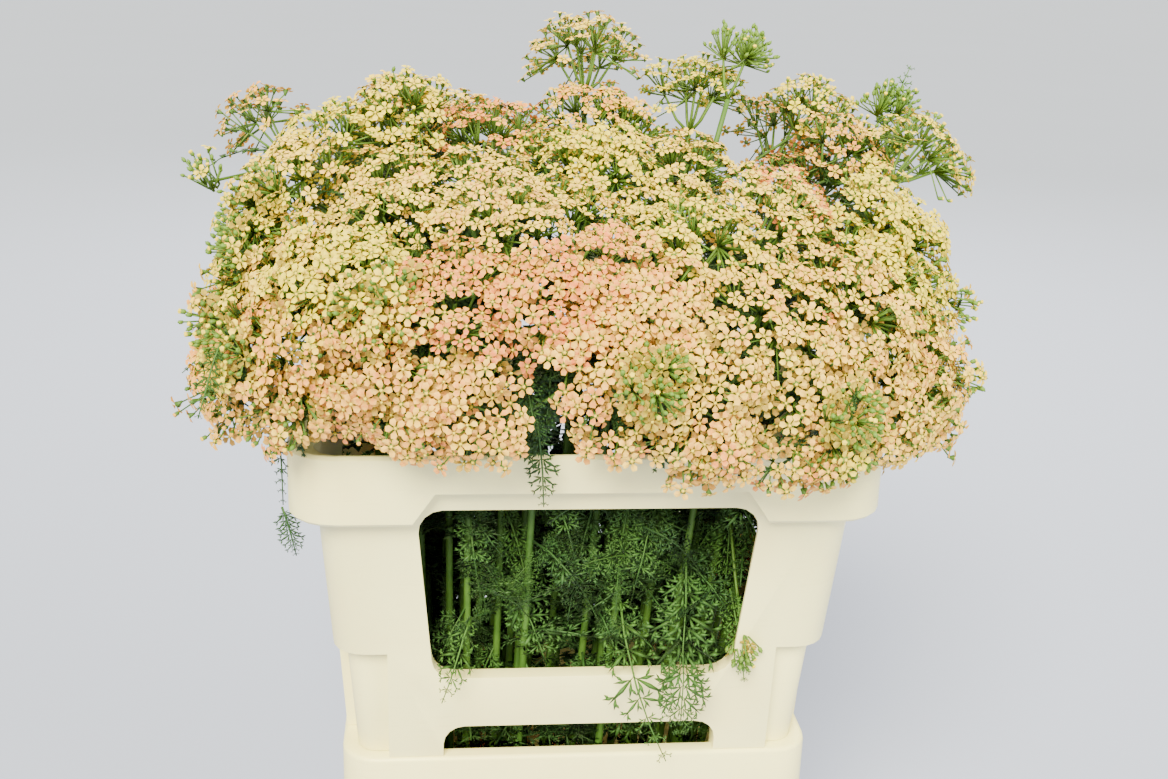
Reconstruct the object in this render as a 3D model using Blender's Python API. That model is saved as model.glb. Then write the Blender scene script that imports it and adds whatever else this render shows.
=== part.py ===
"""Cut yarrow standing in a two-piece plastic flower container.

The container is a bucket with a windowed collar on it. Each cut stem of yarrow grew as one
piece with its flower head, so it is one solid: a tube that stands on the bucket's floor,
rises through the collar's mouth and opens into an umbrella-shaped head.
Origin: the centre of the bucket's underside. +X runs along the long side, -Y is the front,
+Z is up. All sizes are in metres.
"""
import math
import random

import bmesh
import bpy
from mathutils import Vector

# Bucket
BUCKET_HEIGHT = 0.200
BUCKET_RIM_HALF = (0.170, 0.1165)
BUCKET_FOOT_HALF = (0.152, 0.101)
BUCKET_BAND_HEIGHT = 0.046
BUCKET_RIM_WIDTH = 0.0125
BUCKET_BAND_STEP = 0.0085
BUCKET_CORNER = 0.026
WALL = 0.003

# Collar
GAP = 0.0003
COLLAR_HEIGHT = 0.2415
COLLAR_RIM_HALF = (0.200, 0.150)
COLLAR_RIM_CORNER = 0.034
BAND_HEIGHT = 0.0485
LIP_WIDTH = 0.0045
LEDGE_DEPTH = 0.005
LEDGE_WIDTH = 0.0125
BODY_HALF = (0.1815, 0.137)
BODY_FOOT_HALF = (0.1680, 0.1145)
BODY_CORNER = 0.024
CORNER_STEP_DROP = 0.154
CORNER_STEP_IN = 0.009
LEG_REACH = 0.034
LEG_CLEARANCE = 0.0045
LEG_DRAFT = 0.0015
PANEL_HALF = (0.136, 0.070)
WINDOW_HALF = (0.1155, 0.1045)
WINDOW_DROP = (0.042, 0.175)
WINDOW_CORNER = 0.016
RECESS_HALF = (0.103, 0.119)
RECESS_DROP = 0.0255
SLOT_HALF = (0.0975, 0.045)
SLOT_DROP = 0.216
SLOT_CORNER = 0.015

# Flowering stems: heads, half width, half depth, height over the rim, lean in degrees
HEAD_RINGS = (
    (1, 0.000, 0.000, 0.176, 0),
    (6, 0.078, 0.062, 0.176, 7),
    (11, 0.150, 0.115, 0.166, 18),
    (16, 0.222, 0.172, 0.130, 40),
    (20, 0.266, 0.210, 0.050, 78),
)
RING_SQUARENESS = 0.75
RING_TURN = 0.37
HEAD_RADIUS = 0.050
HEAD_GAP = 0.0006
JITTER = 0.006
BACK_RISE = 0.034
STEM_RADIUS = 0.003
STEM_SIDES = 8
NECK_DROP = 0.024
# Along the head's axis: distance from its centre, share of its radius
HEAD_PROFILE = ((-0.008, 0.62), (0.001, 0.98), (0.008, 0.90), (0.0125, 0.52))
# How far a stem keeps its way out of the mouth, and into its head
BEND_SHARES = (0.40, 0.35)
BEND_STOPS = (0.36, 0.68)
MOUTH_DROP = 0.010
MOUTH_SHARE = (0.56, 0.46)
FOOT_SHARE = (0.42, 0.38)
FOOT_SHIFT = -0.022
# Heads that stand out of the dome, by number: how far they move, and their radius
TALL_HEADS = {
    7: ((-0.012, 0.000, 0.070), 0.030),
    8: ((0.000, 0.000, 0.036), 0.046),
    9: ((0.005, 0.000, 0.054), 0.052),
    19: ((0.018, 0.000, 0.042), 0.046),
    24: ((-0.024, 0.000, 0.052), 0.032),
    33: ((0.046, 0.000, 0.060), 0.040),
}

RIM_Z = BUCKET_HEIGHT + GAP + COLLAR_HEIGHT
FOOT_Z = WALL + GAP
CORNER_SEGMENTS = 5


def clear_scene():
    for item in list(bpy.data.objects):
        bpy.data.objects.remove(item, do_unlink=True)


def plastic(name, colour, roughness):
    material = bpy.data.materials.new(name)
    material.use_nodes = True
    shader = material.node_tree.nodes["Principled BSDF"]
    shader.inputs["Base Color"].default_value = (*colour, 1.0)
    shader.inputs["Roughness"].default_value = roughness
    shader.inputs["Metallic"].default_value = 0.0
    return material


def add_object(name, mesh_builder, material, smooth_angle=None):
    mesh = bpy.data.meshes.new(name)
    mesh_builder.to_mesh(mesh)
    mesh_builder.free()
    mesh.materials.append(material)
    if smooth_angle is not None:
        mesh.shade_smooth()
        mesh.set_sharp_from_angle(angle=math.radians(smooth_angle))
    item = bpy.data.objects.new(name, mesh)
    bpy.context.scene.collection.objects.link(item)
    return item


def rounded_rectangle(half, corner, z):
    """Points of a rounded rectangle, anticlockwise seen from above."""
    points = []
    centres = ((1, -1, -90), (1, 1, 0), (-1, 1, 90), (-1, -1, 180))
    for side_x, side_y, start in centres:
        for step in range(CORNER_SEGMENTS + 1):
            angle = math.radians(start + 90 * step / CORNER_SEGMENTS)
            points.append((side_x * (half[0] - corner) + corner * math.cos(angle),
                           side_y * (half[1] - corner) + corner * math.sin(angle), z))
    return points


def bridge_rings(builder, rings, closed=False, cap_ends=False):
    """Join rings of equal length by quads; each ring is a list of vertices."""
    count = len(rings[0])
    pairs = list(zip(rings, rings[1:]))
    if closed:
        pairs.append((rings[-1], rings[0]))
    for low, high in pairs:
        for index in range(count):
            after = (index + 1) % count
            builder.faces.new((low[index], low[after], high[after], high[index]))
    if cap_ends:
        builder.faces.new(list(reversed(rings[0])))
        builder.faces.new(rings[-1])


def ring_vertices(builder, points):
    return [builder.verts.new(point) for point in points]


def shrink(half, amount):
    return (half[0] - amount, half[1] - amount)


def mix(start, end, share):
    return tuple(a + (b - a) * share for a, b in zip(start, end))


def body_half(drop):
    """Half sizes of the collar's tapered body, drop below the rim."""
    share = (drop - BAND_HEIGHT) / (COLLAR_HEIGHT - BAND_HEIGHT)
    return mix(BODY_HALF, BODY_FOOT_HALF, share)


def shell(name, profile, material, closed):
    """A solid from rounded rectangles: each profile row is half sizes, corner radius, height."""
    builder = bmesh.new()
    rings = [ring_vertices(builder, rounded_rectangle(half, corner, z)) for half, corner, z in profile]
    bridge_rings(builder, rings, closed=closed, cap_ends=not closed)
    bmesh.ops.recalc_face_normals(builder, faces=builder.faces)
    return add_object(name, builder, material, smooth_angle=40)


def make_bucket(material):
    top = BUCKET_HEIGHT
    chamfer = 0.002
    band_bottom = top - BUCKET_BAND_HEIGHT
    neck_half = shrink(BUCKET_RIM_HALF, BUCKET_BAND_STEP)
    inner_half = shrink(BUCKET_RIM_HALF, BUCKET_RIM_WIDTH)
    floor_half = shrink(BUCKET_FOOT_HALF, WALL)
    inner_corner = BUCKET_CORNER - BUCKET_RIM_WIDTH
    return shell("bucket", [
        (shrink(BUCKET_FOOT_HALF, chamfer), BUCKET_CORNER - chamfer, 0.0),
        (BUCKET_FOOT_HALF, BUCKET_CORNER, chamfer),
        (neck_half, BUCKET_CORNER - BUCKET_BAND_STEP, band_bottom),
        (BUCKET_RIM_HALF, BUCKET_CORNER, band_bottom),
        (BUCKET_RIM_HALF, BUCKET_CORNER, top - chamfer),
        (shrink(BUCKET_RIM_HALF, chamfer), BUCKET_CORNER - chamfer, top),
        (inner_half, inner_corner, top),
        (shrink(neck_half, WALL), inner_corner, band_bottom),
        (floor_half, BUCKET_CORNER - WALL, WALL),
    ], material, closed=False)


def prism(name, outline_low, outline_high):
    """A cutter between two outlines with the same number of points."""
    builder = bmesh.new()
    bridge_rings(builder, [ring_vertices(builder, outline_low), ring_vertices(builder, outline_high)],
                 cap_ends=True)
    bmesh.ops.recalc_face_normals(builder, faces=builder.faces)
    mesh = bpy.data.meshes.new(name)
    builder.to_mesh(mesh)
    builder.free()
    item = bpy.data.objects.new(name, mesh)
    item.hide_render = True
    item.display_type = "WIRE"
    bpy.context.scene.collection.objects.link(item)
    return item


def rounded_opening(corners, corner, across, reach):
    """Outline of an opening in a wall, as two copies reach apart; across is the axis of the wall."""
    points = []
    count = len(corners)
    for index in range(count):
        here = Vector(corners[index])
        before = (Vector(corners[index - 1]) - here).normalized()
        after = (Vector(corners[(index + 1) % count]) - here).normalized()
        half_angle = before.angle(after) / 2
        centre = here + (before + after).normalized() * (corner / math.sin(half_angle))
        start = here + before * (corner / math.tan(half_angle))
        first = math.atan2(start[1] - centre[1], start[0] - centre[0])
        end = here + after * (corner / math.tan(half_angle))
        last = math.atan2(end[1] - centre[1], end[0] - centre[0])
        turn = (last - first + math.pi) % (2 * math.pi) - math.pi
        for step in range(CORNER_SEGMENTS):
            angle = first + turn * step / (CORNER_SEGMENTS - 1)
            points.append((centre[0] + corner * math.cos(angle), centre[1] + corner * math.sin(angle)))
    if across == "y":
        return ([(x, -reach, z) for x, z in points], [(x, reach, z) for x, z in points])
    return ([(-reach, y, z) for y, z in points], [(reach, y, z) for y, z in points])


def corner_recess(side_x, side_y):
    """Cutter for one lower corner: the moulding steps in between the panels down to the foot."""
    outlines = []
    for drop in (CORNER_STEP_DROP, COLLAR_HEIGHT + LEG_REACH + WALL):
        half = shrink(body_half(drop), CORNER_STEP_IN)
        corner = BODY_CORNER - CORNER_STEP_IN
        far = (0.24, 0.19)
        points = [(PANEL_HALF[0], far[1]), (PANEL_HALF[0], half[1])]
        for step in range(CORNER_SEGMENTS + 1):
            angle = math.radians(90 - 90 * step / CORNER_SEGMENTS)
            points.append((half[0] - corner + corner * math.cos(angle),
                           half[1] - corner + corner * math.sin(angle)))
        points += [(half[0], PANEL_HALF[1]), (far[0], PANEL_HALF[1]), far]
        outlines.append([(side_x * x, side_y * y, RIM_Z - drop) for x, y in points])
    return prism(f"corner_cutter_{side_x}_{side_y}", outlines[1], outlines[0])


def band_recess(side_y):
    """Cutter that takes the rim band away above a window, back to the body's face."""
    low = BAND_HEIGHT + 0.004
    slope = (RECESS_HALF[1] - RECESS_HALF[0]) / (BAND_HEIGHT - RECESS_DROP)
    wide = RECESS_HALF[1] + slope * (low - BAND_HEIGHT)
    outline = [(-wide, -low), (-RECESS_HALF[0], -RECESS_DROP), (RECESS_HALF[0], -RECESS_DROP), (wide, -low)]
    near = side_y * (BODY_HALF[1] + 0.0002)
    far = side_y * (COLLAR_RIM_HALF[1] + 0.02)
    return prism(f"band_cutter_{side_y}", [(x, near, RIM_Z + z) for x, z in outline],
                 [(x, far, RIM_Z + z) for x, z in outline])


def make_collar(material):
    chamfer = 0.0022
    foot = COLLAR_HEIGHT
    rim_corner = COLLAR_RIM_CORNER
    ledge_inner = shrink(COLLAR_RIM_HALF, LIP_WIDTH + LEDGE_WIDTH)
    leg_top_half = shrink(BODY_FOOT_HALF, CORNER_STEP_IN + LEG_CLEARANCE)
    leg_end_half = shrink(leg_top_half, LEG_DRAFT)
    leg_corner = BODY_CORNER - CORNER_STEP_IN
    thick = CORNER_STEP_IN + WALL
    step_in_drop = CORNER_STEP_DROP + 0.006
    profile = [
        (leg_end_half, leg_corner, foot + LEG_REACH),
        (leg_top_half, leg_corner, foot),
        (BODY_FOOT_HALF, BODY_CORNER, foot),
        (BODY_HALF, BODY_CORNER, BAND_HEIGHT),
        (shrink(COLLAR_RIM_HALF, chamfer), rim_corner - chamfer, BAND_HEIGHT),
        (COLLAR_RIM_HALF, rim_corner, BAND_HEIGHT - chamfer),
        (COLLAR_RIM_HALF, rim_corner, chamfer),
        (shrink(COLLAR_RIM_HALF, chamfer), rim_corner - chamfer, 0.0),
        (shrink(COLLAR_RIM_HALF, LIP_WIDTH), rim_corner - LIP_WIDTH, 0.0),
        (shrink(COLLAR_RIM_HALF, LIP_WIDTH), rim_corner - LIP_WIDTH, LEDGE_DEPTH),
        (ledge_inner, BODY_CORNER - WALL, LEDGE_DEPTH),
        (shrink(BODY_HALF, WALL), BODY_CORNER - WALL, BAND_HEIGHT),
        (shrink(body_half(CORNER_STEP_DROP - 0.006), WALL), BODY_CORNER - WALL, CORNER_STEP_DROP - 0.006),
        (shrink(body_half(step_in_drop), thick), leg_corner - WALL, step_in_drop),
        (shrink(leg_top_half, WALL), leg_corner - WALL, foot),
        (shrink(leg_end_half, WALL), leg_corner - WALL, foot + LEG_REACH),
    ]
    collar = shell("collar", [(half, corner, RIM_Z - drop) for half, corner, drop in profile],
                   material, closed=True)

    window_top, window_bottom = RIM_Z - WINDOW_DROP[0], RIM_Z - WINDOW_DROP[1]
    window = [(-WINDOW_HALF[0], window_top), (WINDOW_HALF[0], window_top),
              (WINDOW_HALF[1], window_bottom), (-WINDOW_HALF[1], window_bottom)]
    slot_top, slot_bottom = RIM_Z - SLOT_DROP, RIM_Z - foot - LEG_REACH - 0.03
    cutters = [prism("window_cutter", *rounded_opening(window, WINDOW_CORNER, "y", 0.3))]
    for half, across in zip(SLOT_HALF, ("y", "x")):
        outline = [(-half, slot_top), (half, slot_top), (half, slot_bottom), (-half, slot_bottom)]
        cutters.append(prism(f"slot_cutter_{across}", *rounded_opening(outline, SLOT_CORNER, across, 0.3)))
    cutters += [band_recess(side) for side in (-1, 1)]
    cutters += [corner_recess(x, y) for x in (-1, 1) for y in (-1, 1)]
    for cutter in cutters:
        cut = collar.modifiers.new(cutter.name, "BOOLEAN")
        cut.operation = "DIFFERENCE"
        cut.solver = "EXACT"
        cut.object = cutter
    return collar


def squared(value):
    """Push a circle's sine or cosine outward, so that a ring follows the oblong collar."""
    return math.copysign(abs(value) ** RING_SQUARENESS, value)


def head_places():
    """Centre, axis and outward way of every head, and its seat in the domed surface.

    A tall head stands straight over its seat, which its neighbours leave free for its stem.
    """
    chance = random.Random(7)
    places = []
    for ring, (count, half_width, half_depth, height, lean) in enumerate(HEAD_RINGS):
        for index in range(count):
            angle = 2 * math.pi * (index + RING_TURN * ring) / count
            outward = Vector((math.cos(angle) / max(half_width, 0.05),
                              math.sin(angle) / max(half_depth, 0.05), 0)).normalized()
            seat = Vector((half_width * squared(math.cos(angle)), half_depth * squared(math.sin(angle)),
                           RIM_Z + height + BACK_RISE * math.sin(angle) * (1 - lean / 90) * (ring > 0)))
            seat += Vector([chance.uniform(-JITTER, JITTER) for _ in range(3)])
            tilt = math.radians(lean + chance.uniform(-6, 6) * (ring > 0))
            axis = (outward * math.sin(tilt) + Vector((0, 0, math.cos(tilt)))).normalized()
            centre = seat + Vector(TALL_HEADS.get(len(places), ((0, 0, 0), 0))[0])
            places.append((centre, axis, outward, seat))
    return places


def head_reach(places, number, direction, offset, wanted):
    """How far a head may reach along direction before it would pass half way to a neighbour."""
    centre, axis = places[number][:2]
    reach = wanted
    for other, (far_centre, _, _, far_seat) in enumerate(places):
        if other == number:
            continue
        for far in (far_centre, far_seat):
            towards = (far - centre).normalized()
            slant = direction.dot(towards)
            if slant > 1e-6:
                room = (far - centre).length / 2 - HEAD_GAP - offset * axis.dot(towards)
                reach = min(reach, room / slant)
    return reach


def bezier(points, share):
    start, leave, arrive, end = points
    rest = 1 - share
    return (start * rest ** 3 + leave * 3 * share * rest ** 2
            + arrive * 3 * share ** 2 * rest + end * share ** 3)


def make_stem(places, number, material):
    """One cut stem with its head, as a ring loft from the cut end to the crown."""
    centre, axis, outward, _ = places[number]
    mouth = Vector((centre.x * MOUTH_SHARE[0], centre.y * MOUTH_SHARE[1], RIM_Z - MOUTH_DROP))
    foot = Vector((centre.x * FOOT_SHARE[0] + FOOT_SHIFT, centre.y * FOOT_SHARE[1], FOOT_Z))
    lean = (mouth - foot).normalized()
    neck = centre - axis * NECK_DROP
    span = (neck - mouth).length
    curve = (mouth, mouth + lean * BEND_SHARES[0] * span, neck - axis * BEND_SHARES[1] * span, neck)
    side = Vector((-outward.y, outward.x, 0))
    head_radius = TALL_HEADS.get(number, (None, HEAD_RADIUS))[1]

    def ring(middle, normal, radius, clip_offset=None):
        first = (side - normal * side.dot(normal)).normalized()
        second = normal.cross(first)
        points = []
        for index in range(STEM_SIDES):
            angle = 2 * math.pi * (index + 0.5) / STEM_SIDES
            direction = first * math.cos(angle) + second * math.sin(angle)
            reach = radius
            if clip_offset is not None:
                reach = head_reach(places, number, direction, clip_offset, radius)
            points.append(middle + direction * reach)
        return points

    rings = [ring(foot, Vector((0, 0, 1)), STEM_RADIUS), ring(mouth, lean, STEM_RADIUS)]
    for share in BEND_STOPS:
        before, after = bezier(curve, share - 0.02), bezier(curve, share + 0.02)
        rings.append(ring(bezier(curve, share), (after - before).normalized(), STEM_RADIUS))
    rings.append(ring(neck, axis, STEM_RADIUS))
    for offset, share in HEAD_PROFILE:
        rings.append(ring(centre + axis * offset, axis, head_radius * share, offset))

    builder = bmesh.new()
    bridge_rings(builder, [ring_vertices(builder, points) for points in rings], cap_ends=True)
    bmesh.ops.recalc_face_normals(builder, faces=builder.faces)
    bmesh.ops.triangulate(builder, faces=builder.faces)
    return add_object(f"flowering_stem_{number + 1:02d}", builder, material, smooth_angle=60)


def main():
    clear_scene()
    cream = (0.83, 0.77, 0.60)
    make_bucket(plastic("bucket_cream_plastic", cream, 0.42))
    make_collar(plastic("collar_cream_plastic", cream, 0.42))
    petals = ((0.86, 0.72, 0.42), (0.84, 0.50, 0.36), (0.80, 0.62, 0.34))
    places = head_places()
    for number in range(len(places)):
        colour = petals[number % len(petals)]
        make_stem(places, number, plastic(f"yarrow_{number + 1:02d}", colour, 0.75))


main()
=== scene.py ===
# %% [markdown]
# # Cut yarrow in a flower container
# This lesson dresses a plain CAD model: a two-piece cream plastic container that holds 54 cut
# stems of yarrow. The CAD gives every piece its place and its rough shape. Here the plastic gets
# soft edges and marks of use, and each stem gets its leaves and its head of florets.
# The frame is loaded first, and its solids are kept: their boxes give sizes, and the head places are compared
# with them.

# %% Load the frame
import math
import random
from collections import namedtuple

import bpy
import numpy as np
from mathutils import Matrix, Vector


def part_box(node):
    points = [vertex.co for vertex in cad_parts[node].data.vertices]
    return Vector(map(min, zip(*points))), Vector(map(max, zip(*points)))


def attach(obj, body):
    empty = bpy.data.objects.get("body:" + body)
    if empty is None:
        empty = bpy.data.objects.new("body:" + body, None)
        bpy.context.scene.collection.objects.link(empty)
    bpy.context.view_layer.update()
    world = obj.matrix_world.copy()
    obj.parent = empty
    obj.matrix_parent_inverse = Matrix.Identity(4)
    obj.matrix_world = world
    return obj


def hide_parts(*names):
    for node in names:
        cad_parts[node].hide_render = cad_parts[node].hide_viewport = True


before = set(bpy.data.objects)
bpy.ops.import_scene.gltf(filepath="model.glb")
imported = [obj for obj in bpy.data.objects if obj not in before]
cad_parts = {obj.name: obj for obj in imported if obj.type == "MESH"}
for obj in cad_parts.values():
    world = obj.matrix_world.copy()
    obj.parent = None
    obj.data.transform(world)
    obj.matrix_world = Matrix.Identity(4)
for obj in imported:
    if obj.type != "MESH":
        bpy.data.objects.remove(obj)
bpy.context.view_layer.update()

# %% [markdown]
# ## The camera
# The photo was taken from a little left of the middle, about 0.85 m in front of the container,
# looking down on the flowers. A camera could be placed by eye. This one was fitted to the edges
# of the collar, which gives its place, its turns and its lens, so that every head and leaf can
# be compared with the photo at its own spot.

# %% Camera
PICTURE_WIDTH = 1168
FOCAL_PIXELS = 1427.7
CAMERA_PLACE = Vector((-0.0991, -1.0068, 0.7692))
CAMERA_YAW, CAMERA_PITCH, CAMERA_ROLL = 0.105, 0.316, -0.032


def add_camera():
    ahead = Vector((math.sin(CAMERA_YAW) * math.cos(CAMERA_PITCH),
                    math.cos(CAMERA_YAW) * math.cos(CAMERA_PITCH), -math.sin(CAMERA_PITCH)))
    level = Vector((math.cos(CAMERA_YAW), -math.sin(CAMERA_YAW), 0))
    down = ahead.cross(level)
    right = level * math.cos(CAMERA_ROLL) + down * math.sin(CAMERA_ROLL)
    up = right.cross(ahead)
    data = bpy.data.cameras.new("camera")
    data.sensor_width = 36
    data.lens = data.sensor_width * FOCAL_PIXELS / PICTURE_WIDTH
    camera = bpy.data.objects.new("camera", data)
    turn = Matrix((right, up, -ahead)).transposed()
    camera.matrix_world = Matrix.Translation(CAMERA_PLACE) @ turn.to_4x4()
    bpy.context.scene.collection.objects.link(camera)
    bpy.context.scene.camera = camera
    return camera


camera = add_camera()
print("lens", round(camera.data.lens, 1), "mm")

# %% [markdown]
# ## Writing materials as sums
# A procedural material is a tree of nodes, which could be wired one link at a time. Two small
# classes let us write it as Python instead, which is shorter and reads like the sum it is: a
# `Value` wraps a socket and turns + - * into Math nodes, and a `Finish` adds any other node.

# %% Values
class Value:
    """A number socket that adds Math nodes when it is used in a sum."""

    def __init__(self, finish, socket):
        self.finish, self.socket = finish, socket

    def math(self, operation, other, flip=False):
        pair = (other, self) if flip else (self, other)
        return self.finish.node("ShaderNodeMath", {"operation": operation}, {0: pair[0], 1: pair[1]})

    def __add__(self, other):
        return self.math("ADD", other)

    def __sub__(self, other):
        return self.math("SUBTRACT", other)

    def __rsub__(self, other):
        return self.math("SUBTRACT", other, flip=True)

    def __mul__(self, other):
        return self.math("MULTIPLY", other)

    __radd__, __rmul__ = __add__, __mul__


def colour4(value):
    """A colour written as three numbers gets its alpha; a link stays a link."""
    return value if isinstance(value, Value) else (*value, 1.0)


print("a colour for a socket:", colour4((0.9, 0.8, 0.5)))


# %% Finishes
class Finish:
    """One material: its node tree, its Principled shader and the helpers that fill them."""

    def __init__(self, name, **plain):
        self.material = bpy.data.materials.new(name)
        self.material.use_nodes = True
        self.tree = self.material.node_tree
        self.shader = self.tree.nodes["Principled BSDF"]
        for socket, value in plain.items():
            self.shader.inputs[socket.replace("_", " ")].default_value = value

    def node(self, kind, settings=None, inputs=None, output=0):
        made = self.tree.nodes.new(kind)
        for name, value in (settings or {}).items():
            if name == "stops":
                self.set_stops(made.color_ramp, value)
            else:
                setattr(made, name, value)
        for key, value in (inputs or {}).items():
            if isinstance(value, Value):
                self.tree.links.new(value.socket, made.inputs[key])
            else:
                made.inputs[key].default_value = value
        return Value(self, made.outputs[output])

    @staticmethod
    def set_stops(ramp, stops):
        while len(ramp.elements) < len(stops):
            ramp.elements.new(0.5)
        for element, (place, colour) in zip(ramp.elements, stops):
            element.position, element.color = place, (*colour, 1.0)

    def place(self):
        return self.node("ShaderNodeTexCoord", output="Object")

    def noise(self, scale, detail=3.0, roughness=0.55, vector=None):
        return self.node("ShaderNodeTexNoise", {}, {"Vector": vector or self.place(), "Scale": scale,
                                                   "Detail": detail, "Roughness": roughness})

    def attribute(self, name):
        return self.node("ShaderNodeAttribute", {"attribute_name": name}, output="Fac")

    def blend(self, share, first, second):
        return self.node("ShaderNodeMix", {"data_type": "RGBA"},
                         {0: share, 6: colour4(first), 7: colour4(second)}, output=2)

    def ramp(self, share, *stops):
        return self.node("ShaderNodeValToRGB", {"stops": stops}, {0: share})

    def between(self, value, low, high, to_low=0.0, to_high=1.0):
        return self.node("ShaderNodeMapRange", {"clamp": True},
                         {0: value, 1: low, 2: high, 3: to_low, 4: to_high})

    def bump(self, height, strength, distance):
        return self.node("ShaderNodeBump", {}, {"Height": height, "Strength": strength,
                                               "Distance": distance}, output="Normal")

    def connect(self, **sockets):
        for socket, value in sockets.items():
            self.tree.links.new(value.socket, self.shader.inputs[socket.replace("_", " ")])
        return self.material


trial = Finish("trial")
print("1 - noise makes a", (1 - trial.noise(5.0)).socket.node.bl_idname)
bpy.data.materials.remove(trial.material)

# %% [markdown]
# ## Floor and light
# The photo has a plain, pale, neutral backdrop and soft light. A curved backdrop could be built.
# One large floor does as well here, since the camera looks down on it. The light is a broad sun
# from the upper left front, a fill from the right, a lamp from behind and a bright, even sky.
# The lamps are warm, which gives the flowers their glow, and the floor is tinted cool, so that
# it still looks grey.

# %% Floor
FLOOR_SIZE = 80
FLOOR_COLOUR = (0.310, 0.345, 0.680)
FLOOR_DARKER = 0.96


def floor_finish():
    finish = Finish("studio_floor", Roughness=0.9)
    darker = [c * FLOOR_DARKER for c in FLOOR_COLOUR]
    return finish.connect(Base_Color=finish.blend(finish.noise(1.3, detail=2.0), FLOOR_COLOUR, darker))


def add_floor():
    bpy.ops.mesh.primitive_plane_add(size=FLOOR_SIZE, location=(0, 0, 0))
    floor = bpy.context.object
    floor.name = "floor"
    floor.data.materials.append(floor_finish())
    return floor


floor = add_floor()
print("floor", floor.dimensions.x, "m wide")

# %% Sky and lamps
SKY_COLOUR, SKY_STRENGTH = (1.0, 0.96, 0.56), 1.12
LAMP_AIM = Vector((0, 0, 0.45))
# name, kind, place, power, colour, and its spread or size
LAMPS = (
    ("key", "SUN", (-0.30, -0.85, 1.25), 12.6, (1.0, 0.94, 0.50), {"angle": math.radians(28)}),
    ("fill", "AREA", (2.2, -1.6, 1.6), 95, (1.0, 0.96, 0.55), {"size": 1.8}),
    ("back", "AREA", (0.4, 2.4, 2.2), 120, (1.0, 0.97, 0.64), {"size": 1.6}),
)


def add_sky(colour, strength):
    sky = bpy.data.worlds.new("sky")
    sky.use_nodes = True
    ground = sky.node_tree.nodes["Background"]
    ground.inputs["Color"].default_value = colour4(colour)
    ground.inputs["Strength"].default_value = strength
    bpy.context.scene.world = sky


def add_lamp(name, kind, place, power, colour, shape):
    data = bpy.data.lights.new(name, kind)
    data.energy, data.color = power, colour
    for key, value in shape.items():
        setattr(data, key, value)
    lamp = bpy.data.objects.new(name, data)
    lamp.location = place
    lamp.rotation_mode = "QUATERNION"
    lamp.rotation_quaternion = (LAMP_AIM - Vector(place)).to_track_quat("-Z", "Y")
    bpy.context.scene.collection.objects.link(lamp)
    return lamp


add_sky(SKY_COLOUR, SKY_STRENGTH)
print("sky and lamps", [add_lamp(*lamp).name for lamp in LAMPS])

# %% [markdown]
# ## Cream plastic
# The container is moulded in a cream plastic that has seen some use: faint cloudiness in the
# colour, a greyish film low down, fine scuffs that dull the shine, and a slight orange-peel skin.
# These could be painted on an image. Noise at four sizes does it without one, and as the noise
# is read from the object's own coordinates, the marks stay the same size on both pieces.

# %% Container finish
CREAM = (0.880, 0.830, 0.520)
CREAM_WARM = (0.850, 0.730, 0.430)
GRIME = (0.40, 0.33, 0.20)
COLLAR_GRIME_HEIGHT = 0.12
bucket_low, bucket_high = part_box("bucket")
collar_low, collar_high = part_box("collar")
RIM_Z = collar_high.z


def cream_plastic(name, low, high):
    """Low and high are the heights between which the grime fades out."""
    finish = Finish(name, IOR=1.49, Subsurface_Weight=0.06, Subsurface_Radius=(0.01, 0.006, 0.003),
                    Subsurface_Scale=0.5)
    place = finish.place()
    cloud = finish.noise(9.0, detail=4.0, vector=place)
    colour = finish.blend(finish.between(cloud, 0.45, 0.75, 0.0, 0.6), CREAM, CREAM_WARM)
    height = finish.node("ShaderNodeSeparateXYZ", {}, {0: place}, output="Z")
    specks = finish.between(finish.noise(140.0, detail=6.0, roughness=0.7, vector=place), 0.62, 0.74)
    film = finish.between(height, low, high, 1.0, 0.0) * finish.between(cloud, 0.35, 0.65) * 0.16
    colour = finish.blend(film + specks * 0.10, colour, GRIME)
    stretch = finish.node("ShaderNodeMapping", {}, {"Vector": place, "Scale": (18.0, 18.0, 260.0)})
    scratches = finish.between(finish.noise(1.6, detail=5.0, vector=stretch), 0.60, 0.72)
    colour = finish.blend(scratches * 0.08, colour, GRIME)
    peel = finish.noise(420.0, detail=2.0, vector=place)
    shine = 0.32 + cloud * 0.14 + scratches * 0.18 + specks * 0.1
    return finish.connect(Base_Color=colour, Roughness=shine,
                          Normal=finish.bump(peel + scratches * -0.8, 0.12, 0.0004))


bucket_cream = cream_plastic("bucket_cream", bucket_low.z, bucket_high.z)
collar_cream = cream_plastic("collar_cream", collar_low.z, collar_low.z + COLLAR_GRIME_HEIGHT)
print("plastics with", len(bucket_cream.node_tree.nodes), "nodes; the rim is at", round(RIM_Z, 3), "m")

# %% [markdown]
# ## Softening the mouldings
# The bucket and the collar are thin-walled mouldings with ribs, windows and legs. They could be
# modelled again from boxes, but the CAD solids already have the right shape, and only their
# edges are knife-sharp. So a copy of each is cleaned up in edit mode and gets a small rounded
# bevel, as a mould would give.

# %% Container
EDGE_RADIUS = 0.0011
EDGE_SEGMENTS = 3
MERGE_GAP = 0.00002
FLAT_ANGLE, SHARP_ANGLE, SMOOTH_ANGLE = math.radians(1.0), math.radians(38), math.radians(32)


def make_active(item):
    if bpy.context.object and bpy.context.object.mode != "OBJECT":
        bpy.ops.object.mode_set(mode="OBJECT")
    bpy.ops.object.select_all(action="DESELECT")
    item.select_set(True)
    bpy.context.view_layer.objects.active = item


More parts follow.
